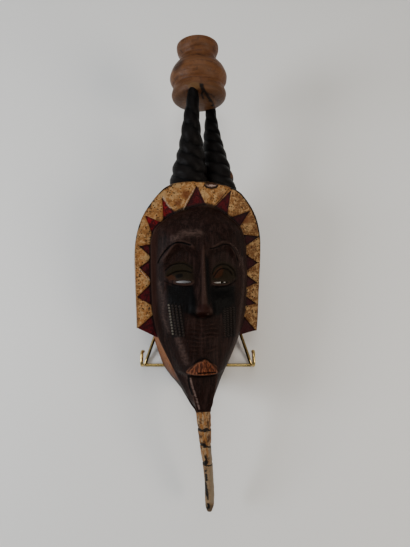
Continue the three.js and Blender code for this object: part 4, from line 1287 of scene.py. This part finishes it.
def gesso(colours):
    """Old gesso border: ground gone ochre and freckled, crimson triangles, blackened rim, one pale chip."""
    tree, surface = new_material("cracked_gesso")
    place = mask_place(tree)
    axes = add(tree, "ShaderNodeSeparateXYZ", {"Vector": place})
    # Stains 8 mm across, brushed patches 3 mm, dirt of 1.2 mm and freckles 2.4 mm apart.
    cloud = add(tree, "ShaderNodeTexNoise", {"Vector": place, "Scale": 0.12, "Detail": 4.0})
    brush = add(tree, "ShaderNodeTexNoise", {"Vector": place, "Scale": 0.3, "Detail": 4.0, "Distortion": 0.8})
    fine = add(tree, "ShaderNodeTexNoise", {"Vector": place, "Scale": 0.85, "Detail": 4.0, "Roughness": 0.6})
    freckle = add(tree, "ShaderNodeTexVoronoi", {"Vector": place, "Scale": 0.42, "Randomness": 1.0})
    sharp = (add(tree, "ShaderNodeAttribute", attribute_name="sharp"), "Fac")
    at = areas_of(tree, fine, (
        ("red", 0.6, -0.15, 0.3, 1.0), ("rim_ink", 0.5, -0.3, 0.25, 1.0), ("chip", 1.5, -0.3, 0.5, 0.95),
        ("chip_ink", 0.5, -0.3, 0.2, 1.0), ("root", 1.6, -1.2, 0.8, 0.9), ("pale_edge", 1.1, -0.5, 0.4, 0.85),
        ("dark_edge", 0.6, -0.3, 0.3, 0.9), ("stain", 2.5, -2.0, 2.5, 0.85),
    ))
    # The cream is yellower low down, browner to the right, and the reds are brightest at the upper left.
    rim = (add(tree, "ShaderNodeAttribute", attribute_name="rim"), "Fac")
    spots = add(tree, "ShaderNodeMapRange", {0: freckle, 1: 0.42, 2: 0.2}, **SOFT)
    spots = add(tree, "ShaderNodeMath", {0: spots, 1: brush}, operation="MULTIPLY")
    right = add(tree, "ShaderNodeMapRange", {0: (axes, "X"), 1: 16.0, 2: 46.0}, **SOFT)
    low = add(tree, "ShaderNodeMapRange", {0: (axes, "Z"), 1: 40.0, 2: 4.0}, **SOFT)
    left = add(tree, "ShaderNodeMapRange", {0: (axes, "X"), 1: -14.0, 2: -30.0}, **SOFT)
    upper = add(tree, "ShaderNodeMapRange", {0: (axes, "Z"), 1: 28.0, 2: 40.0}, **SOFT)
    bright = add(tree, "ShaderNodeMath", {0: left, 1: upper}, operation="MULTIPLY")
    cream = coats(tree, colours.cream, [
        (low, 0.0, 1.0, 0.65, "#8a5c30"),
        (right, 0.0, 1.0, 0.6, "#503520"),
        (cloud, 0.5, 0.62, 0.85, "#9a7a50"),
        (cloud, 0.45, 0.36, 0.8, colours.tan),
        (brush, 0.52, 0.62, 0.7, "#a98659"),
        (brush, 0.42, 0.32, 0.75, "#4a2e18"),
        (fine, 0.56, 0.68, 0.55, "#c0a070"),
        (fine, 0.42, 0.34, 0.8, "#3a2413"),
        (spots, 0.34, 0.42, 0.9, "#201208"),
        (at["stain"], "#5c2f14"),
        (rim, 2.2, 0.2, 0.5, "#3f2815"),
    ])
    reds = coats(tree, colours.red, [
        (bright, 0.0, 1.0, 0.85, "#78070f"),
        (brush, 0.44, 0.58, 0.85, "#1e0204"),
        (fine, 0.52, 0.68, 0.45, "#6a1018"),
        (right, 0.0, 1.0, 0.75, "#22070a"),
        (sharp, 0.1, 0.5, 0.5, "#7a463a"),
    ])
    colour = coats(tree, cream, [
        (at["red"], reds),
        (sharp, -0.08, -0.5, 0.85, "#0d0504"),
        # Painted shade on the cut edges, and the dark paint line along the top.
        (at["dark_edge"], "#0d0605"),
        (at["root"], "#150b08"),
        # Painted highlights on the cut edges and the rim.
        (at["pale_edge"], "#a8937c"),
        ((axes, "Y"), 1.6, 2.6, 1.0, "#3a2216"),
        (at["chip"], "#9a857b"),
        (at["chip_ink"], "#060404"),
        # Black paint of the rim, and a painted shadow along the top left.
        (at["rim_ink"], colours.soot),
    ])
    heights = ((cloud, 0.0006), (brush, 0.0006), (fine, 0.0004))
    finish(tree, surface, colour, (fine, 0.4, 0.6), heights, 0.11)


def bare_wood(colours):
    """Unpainted light hardwood cut with an adze: matt, long grain, darker in hollows and towards the chin."""
    tree, surface = new_material("bare_carved_wood")
    place = mask_place(tree)
    axes = add(tree, "ShaderNodeSeparateXYZ", {"Vector": place})
    # Grain lines 1.4 mm wide, stains 20 mm across, adze flats about 6 mm across.
    along_grain = add(tree, "ShaderNodeMapping", {"Vector": place, "Scale": (1, 1, 0.07)})
    grain = add(tree, "ShaderNodeTexNoise", {"Vector": along_grain, "Scale": 0.7, "Detail": 6.0})
    cloud = add(tree, "ShaderNodeTexNoise", {"Vector": place, "Scale": 0.05, "Detail": 3.0})
    longer = add(tree, "ShaderNodeMapping", {"Vector": place, "Scale": (1, 1, 0.5)})
    flats = add(tree, "ShaderNodeTexVoronoi", {"Vector": longer, "Scale": 0.17}, feature="SMOOTH_F1")
    sharp = (add(tree, "ShaderNodeAttribute", attribute_name="sharp"), "Fac")
    at = areas_of(tree, grain, (("overpaint", 3.0, -1.5, 1.5, 1.0),))
    colour = coats(tree, colours.wood, [
        (grain, 0.4, 0.66, 0.75, "#482510"),
        (cloud, 0.45, 0.7, 0.7, "#7b4b25"),
        (sharp, -0.05, -0.4, 0.5, "#1e0e06"),
        # Darker towards the chin.
        ((axes, "Z"), -76.0, -100.0, 0.7, "#33190f"),
        (at["overpaint"], colours.face),
    ])
    finish(tree, surface, colour, (grain, 0.5, 0.7), ((flats, 0.0014), (grain, 0.0004)), 0.14)


def horn_paint(colours):
    """Soot-black paint over the ribs, polished on the crests, with one worn ochre streak."""
    tree, surface = new_material("soot_black_paint")
    place = mask_place(tree)
    # Brush specks of 0.9 mm and clouds 11 mm across.
    fine = add(tree, "ShaderNodeTexNoise", {"Vector": place, "Scale": 1.1, "Detail": 4.0})
    cloud = add(tree, "ShaderNodeTexNoise", {"Vector": place, "Scale": 0.09, "Detail": 3.0})
    sharp = (add(tree, "ShaderNodeAttribute", attribute_name="sharp"), "Fac")
    # The streak leans on the outer side of the right horn, low down, 8 mm wide and 19 mm long.
    spot = add(tree, "ShaderNodeVectorMath", {0: place, 1: (36.5, 18.0, 98.0)}, operation="SUBTRACT")
    spot = add(tree, "ShaderNodeMapping", {"Vector": spot, "Rotation": (0, math.radians(-20), 0)})
    spot = add(tree, "ShaderNodeVectorMath", {0: spot, 1: (4.0, 12.0, 9.5)}, operation="DIVIDE")
    away = (add(tree, "ShaderNodeVectorMath", {0: spot}, operation="LENGTH"), "Value")
    away = add(tree, "ShaderNodeMath", {0: fine, 1: 0.9, 2: away}, operation="MULTIPLY_ADD")
    colour = coats(tree, colours.soot, [
        (cloud, 0.45, 0.7, 0.7, "#0b0807"),
        (sharp, 0.05, 0.6, 0.6, "#191615"),
        (fine, 0.55, 0.7, 0.5, "#140e0c"),
        (away, 1.3, 0.9, 0.85, "#4f2f16"),
    ])
    finish(tree, surface, colour, (fine, 0.3, 0.5), ((fine, 0.0003), (cloud, 0.0004)), 0.05)


def spool_wood(colours):
    """Lathe-turned softwood, oiled and handled: warm brown, ringed by the gouge, dented and checked."""
    tree, surface = new_material("oiled_turned_wood")
    place = mask_place(tree)
    centred = add(tree, "ShaderNodeVectorMath", {0: place, 1: SPOOL_AT}, operation="SUBTRACT")
    axes = add(tree, "ShaderNodeSeparateXYZ", {"Vector": centred})
    # Tool rings 2.4 mm apart, grain patches 5 mm long, stains 14 mm across, dents of 0.8 mm.
    round_it = add(tree, "ShaderNodeMapping", {"Vector": centred, "Scale": (0.1, 0.1, 1)})
    rings = add(tree, "ShaderNodeTexNoise", {"Vector": round_it, "Scale": 0.42, "Detail": 4.0})
    cloud = add(tree, "ShaderNodeTexNoise", {"Vector": centred, "Scale": 0.07, "Detail": 4.0})
    patch = add(tree, "ShaderNodeTexNoise",
                {"Vector": centred, "Scale": 0.2, "Detail": 4.0, "Distortion": 0.8})
    fine = add(tree, "ShaderNodeTexNoise", {"Vector": centred, "Scale": 1.2, "Detail": 3.0})
    sharp = (add(tree, "ShaderNodeAttribute", attribute_name="sharp"), "Fac")
    at = areas_of(tree, fine, (
        ("split", 0.8, -0.6, 0.3, 0.97), ("stain", 2.2, -2.0, 2.5, 0.7), ("bare", 1.2, -1.2, 1.0, 0.7),
    ))
    colour = coats(tree, colours.spool, [
        (rings, 0.42, 0.62, 0.7, "#3a2010"),
        (patch, 0.5, 0.68, 0.6, "#634024"),
        (cloud, 0.5, 0.7, 0.5, "#563824"),
        # Darker towards the underside of the lowest swelling: painted shade.
        ((axes, "Z"), 15.0, 8.0, 0.55, "#2d180a"),
        (patch, 0.42, 0.3, 0.6, "#2d190d"),
        # Turned rims lighter: a painted highlight along them.
        (sharp, 0.12, 0.7, 0.4, "#6f4c2f"),
        (sharp, -0.06, -0.5, 0.8, "#140a05"),
        (at["bare"], "#5c4225"),
        (at["stain"], "#140b0d"),
        (at["split"], "#080403"),
    ])
    heights = ((rings, 0.0006), (patch, 0.0005), (fine, 0.0002))
    finish(tree, surface, colour, (fine, 0.36, 0.54), heights, 0.16)


def rod_paint(colours):
    """Cream gesso on the whittled rod, dirty in its flats, black bands, painted shade down one side, smoked
    tip.
    """
    tree, surface = new_material("gessoed_rod")
    place = mask_place(tree)
    axes = add(tree, "ShaderNodeSeparateXYZ", {"Vector": place})
    # Dirt lines 1.7 mm wide along the rod, pits of 0.8 mm and worn patches 3.6 mm across.
    along_grain = add(tree, "ShaderNodeMapping", {"Vector": place, "Scale": (1, 1, 0.2)})
    grain = add(tree, "ShaderNodeTexNoise", {"Vector": along_grain, "Scale": 0.6, "Detail": 4.0})
    fine = add(tree, "ShaderNodeTexNoise", {"Vector": place, "Scale": 1.2, "Detail": 4.0})
    patch = add(tree, "ShaderNodeTexNoise", {"Vector": place, "Scale": 0.28, "Detail": 3.0})
    at = areas_of(tree, fine, (
        ("rod_ink", 1.0, -0.5, 0.4, 0.97), ("grey", 1.4, -2.0, 1.0, 0.9), ("rod_stain", 1.5, -1.2, 1.2, 0.8),
    ))
    colour = coats(tree, colours.cream, [
        (grain, 0.45, 0.62, 0.8, "#947d5e"),
        (patch, 0.5, 0.64, 0.8, "#372210"),
        (fine, 0.52, 0.68, 0.75, "#1d1008"),
        # Painted shade down the rod's right side.
        (at["grey"], "#756a59"),
        (at["rod_stain"], "#2c150d"),
        ((axes, "Z"), -150.0, -180.0, 0.55, "#7d6e58"),
        ((axes, "Z"), -203.0, -208.0, 0.75, "#3d3224"),
        (at["rod_ink"], "#070504"),
    ])
    finish(tree, surface, colour, (fine, 0.45, 0.65), ((grain, 0.0007), (fine, 0.0004)), 0.16)


def brass(colours):
    """Bright polished brass wire, drawn and bent: faint draw lines, a little tarnish, painted shade on its
    legs.
    """
    tree, surface = new_material("polished_brass_wire")
    spot = (add(tree, "ShaderNodeTexCoord"), "Object")
    # Tarnish 10 mm across, draw marks of 1 mm.
    cloud = add(tree, "ShaderNodeTexNoise", {"Vector": spot, "Scale": 90.0, "Detail": 3.0})
    fine = add(tree, "ShaderNodeTexNoise", {"Vector": spot, "Scale": 900.0, "Detail": 2.0})
    # The legs of the front frame, between the hooks and under the mask, are darkened with painted shade.
    axes = add(tree, "ShaderNodeSeparateXYZ", {"Vector": spot})
    between = add(tree, "ShaderNodeMath", {0: (axes, "X"), 1: GROUP_AT[0] * MM, 2: LEG_SHADE["half"] * MM},
                  operation="COMPARE")
    above = add(tree, "ShaderNodeMapRange",
                {0: (axes, "Y"), 1: LEG_SHADE["start"] * MM, 2: LEG_SHADE["full"] * MM}, **SOFT)
    legs = add(tree, "ShaderNodeMath", {0: between, 1: above}, operation="MULTIPLY")
    colour = coats(tree, colours.brass, [
        (cloud, 0.5, 0.75, 0.6, "#977c48"),
        (legs, 0.0, 1.0, 0.92, "#261a0a"),
    ])
    surface.inputs["Metallic"].default_value = 1.0
    finish(tree, surface, colour, (cloud, 0.2, 0.3), ((fine, 0.00001),), 0.5)


def floor_paper(colours):
    """Matt studio paper, which gives an even pale ground."""
    tree, surface = new_material("matt_studio_paper")
    spot = (add(tree, "ShaderNodeTexCoord"), "Object")
    # Unevenness 0.3 m across and paper tooth of 1 mm.
    cloud = add(tree, "ShaderNodeTexNoise", {"Vector": spot, "Scale": 3.0, "Detail": 2.0})
    tooth = add(tree, "ShaderNodeTexNoise", {"Vector": spot, "Scale": 900.0, "Detail": 2.0})
    colour = coats(tree, colours.floor, [(cloud, 0.3, 0.7, 0.3, "#e2e1dd")])
    finish(tree, surface, colour, (tooth, 0.85, 0.95), ((tooth, 0.00003),), 0.3)


class MASK_OT_mix_finishes(bpy.types.Operator):
    """Mix the paints, woods and metal of the object"""

    bl_idname = "mask.mix_finishes"
    bl_label = "Mix finishes"

    def execute(self, context):
        colours = context.scene.mask_colours
        for mix in (brown_paint, gesso, bare_wood, horn_paint, spool_wood, rod_paint, brass, floor_paper):
            mix(colours)
        return {"FINISHED"}


class MASK_OT_carve_mask(bpy.types.Operator):
    """Carve the mask in one piece: shell, flange, horns, spool, beard and scar marks"""

    bl_idname = "mask.carve_mask"
    bl_label = "Carve mask"

    def execute(self, context):
        sizes = context.scene.mask_sizes
        horn_tree()
        scar_tree()
        body = shell_object()
        combine(body, flange_object(sizes.triangle_depth / MM), "UNION")
        combine(body, hollow_object(), "DIFFERENCE")
        for slit in EYE_SLITS:
            combine(body, slit_object(*slit), "DIFFERENCE")
        combine(body, scar_object(), "UNION")
        combine(body, horn_object("left_horn", LEFT_HORN, 0.0, sizes), "UNION")
        combine(body, horn_object("right_horn", RIGHT_HORN, 0.4, sizes), "UNION")
        combine(body, spool_object(), "UNION")
        combine(body, beard_object(), "UNION")
        weld(body)
        body.name = "carved_mask"
        body.data.name = "carved_mask"
        mark_surface(body)
        shade(body, 38)
        place_in_row(body, mask_to_row())
        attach(body, "root")
        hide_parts("mask")
        return {"FINISHED"}


def wire_tree():
    """Bends round wire along straight runs of points."""
    tree, group_in, group_out = new_tree(
        "bent_wire",
        (("Wire", "NodeSocketFloat"), ("Bend", "NodeSocketFloat"), ("Sides", "NodeSocketInt"),
         ("Material", "NodeSocketMaterial")),
    )
    bent = add(tree, "GeometryNodeFilletCurve",
               {"Curve": group_in.outputs["Geometry"], "Radius": group_in.outputs["Bend"], "Count": 7},
               mode="POLY")
    half = add(tree, "ShaderNodeMath", {0: group_in.outputs["Wire"], 1: WIRE_SHARE / 2},
               operation="MULTIPLY")
    circle = add(tree, "GeometryNodeCurvePrimitiveCircle",
                 {"Resolution": group_in.outputs["Sides"], "Radius": half.outputs[0]})
    swept = add(tree, "GeometryNodeCurveToMesh",
                {"Curve": bent.outputs[0], "Profile Curve": circle.outputs[0], "Fill Caps": True})
    finish_tree(tree, swept.outputs[0], group_in.outputs["Material"], group_out)
    return tree


class MASK_OT_bend_stand(bpy.types.Operator):
    """Bend the wire stand: front frame, bar, two hooks and the prop behind"""

    bl_idname = "mask.bend_stand"
    bl_label = "Bend stand"

    def execute(self, context):
        sizes = context.scene.mask_sizes
        tree = wire_tree()
        depth = RIM_DEPTH + STAND["gap"] + sizes.wire / MM / 2
        up = Vector((0, -math.cos(RECLINE), math.sin(RECLINE)))
        back = Vector((0, math.sin(RECLINE), math.cos(RECLINE)))
        half, bar_z, apex_z = STAND["half"], STAND["bar_z"], STAND["apex_z"]
        left, right = Vector((-half, depth, bar_z)), Vector((half, depth, bar_z))
        apex = Vector((0, depth, apex_z))
        foot = apex - up * (apex_z - bar_z) * math.sin(RECLINE) + back * STAND["foot_back"]
        lines = [([left, apex, right], STAND["apex_bend"]), ([left, right], 0.0)]
        for corner in (left, right):
            top = corner + up * STAND["rise"]
            reach = top + back * STAND["reach"]
            lines.append(([corner, top, reach, reach - up * STAND["drop"]], sizes.wire_bend / MM))
        shoulder, shoulder_z = STAND["shoulder_half"], STAND["shoulder_z"]
        shoulders = [Vector((side * shoulder, depth, shoulder_z)) for side in (-1, 1)]
        feet = [Vector((side * STAND["foot_half"], foot.y, foot.z)) for side in (-1, 1)]
        lines.append(([shoulders[0], feet[0], feet[1], shoulders[1]], sizes.wire_bend / MM))
        body, *others = [
            apply_tree(spline_object(f"wire_{number}", line), tree, {
                "Wire": sizes.wire / MM, "Bend": bend, "Sides": 20,
                "Material": bpy.data.materials["polished_brass_wire"],
            })
            for number, (line, bend) in enumerate(lines)
        ]
        for part in others:
            combine(body, part, "UNION")
        weld(body)
        body.name = "wire_stand"
        body.data.name = "wire_stand"
        shade(body, 50)
        place_in_row(body, group_to_row())
        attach(body, "root")
        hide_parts("stand")
        return {"FINISHED"}


class MASK_OT_set_stage(bpy.types.Operator):
    """Lay the floor, hang the lights and set the camera at the photograph's angle"""

    bl_idname = "mask.set_stage"
    bl_label = "Set stage"

    def execute(self, context):
        scene = context.scene
        work = bmesh.new()
        bmesh.ops.create_grid(work, x_segments=4, y_segments=4, size=FLOOR_HALF)
        mesh = bpy.data.meshes.new("floor")
        work.to_mesh(mesh)
        work.free()
        mesh.materials.append(bpy.data.materials["matt_studio_paper"])
        floor = bpy.data.objects.new("floor", mesh)
        scene.collection.objects.link(floor)

        for name, place, size, power, tint in LIGHTS:
            lamp = bpy.data.lights.new(name, "AREA")
            lamp.shape = "SQUARE"
            lamp.size = size
            lamp.energy = power
            lamp.color = linear(tint)[:3]
            made = bpy.data.objects.new(name, lamp)
            made.location = place
            made.rotation_euler = (Vector(LIGHTS_AIM) - Vector(place)).to_track_quat("-Z", "Y").to_euler()
            scene.collection.objects.link(made)
        world = bpy.data.worlds.new("studio")
        world.use_nodes = True
        background = world.node_tree.nodes["Background"]
        background.inputs["Color"].default_value = linear(SKY[0])
        background.inputs["Strength"].default_value = SKY[1]
        scene.world = world

        lens = bpy.data.cameras.new("camera")
        lens.sensor_fit = "AUTO"
        lens.sensor_width = SENSOR
        lens.lens = LENS_PIXELS * SENSOR / max(PHOTO_SIZE)
        lens.clip_start = 0.01
        camera = bpy.data.objects.new("camera", lens)
        camera.location = group_to_row() @ Vector(LENS_AT)
        ahead = group_to_row().to_3x3() @ Vector((0, 1, 0))
        above = group_to_row().to_3x3() @ Vector((0, 0, 1))
        aside = ahead.cross(above)
        turn = Matrix((aside.normalized(), above.normalized(), -ahead.normalized())).transposed()
        camera.rotation_euler = turn.to_euler()
        scene.collection.objects.link(camera)
        scene.camera = camera
        return {"FINISHED"}


class MASK_PT_panel(bpy.types.Panel):
    """Sizes, colours and steps of the mask"""

    bl_idname = "MASK_PT_panel"
    bl_label = "Carved mask"
    bl_space_type = "VIEW_3D"
    bl_region_type = "UI"
    bl_category = "Mask"

    def draw(self, context):
        for group in (context.scene.mask_sizes, context.scene.mask_colours):
            for name in group.bl_rna.properties.keys():
                if name not in ("rna_type", "name"):
                    self.layout.prop(group, name)
        for step in STEPS:
            self.layout.operator(step.bl_idname)


STEPS = (MASK_OT_mix_finishes, MASK_OT_carve_mask, MASK_OT_bend_stand, MASK_OT_set_stage)
CLASSES = (MaskSizes, MaskColours) + STEPS + (MASK_PT_panel,)


def register():
    for each in CLASSES:
        bpy.utils.register_class(each)
    bpy.types.Scene.mask_sizes = PointerProperty(type=MaskSizes)
    bpy.types.Scene.mask_colours = PointerProperty(type=MaskColours)


def unregister():
    del bpy.types.Scene.mask_colours
    del bpy.types.Scene.mask_sizes
    for each in reversed(CLASSES):
        bpy.utils.unregister_class(each)


def main():
    register()
    bpy.ops.mask.mix_finishes()
    bpy.ops.mask.carve_mask()
    bpy.ops.mask.bend_stand()
    bpy.ops.mask.set_stage()


if __name__ == "__main__":
    main()
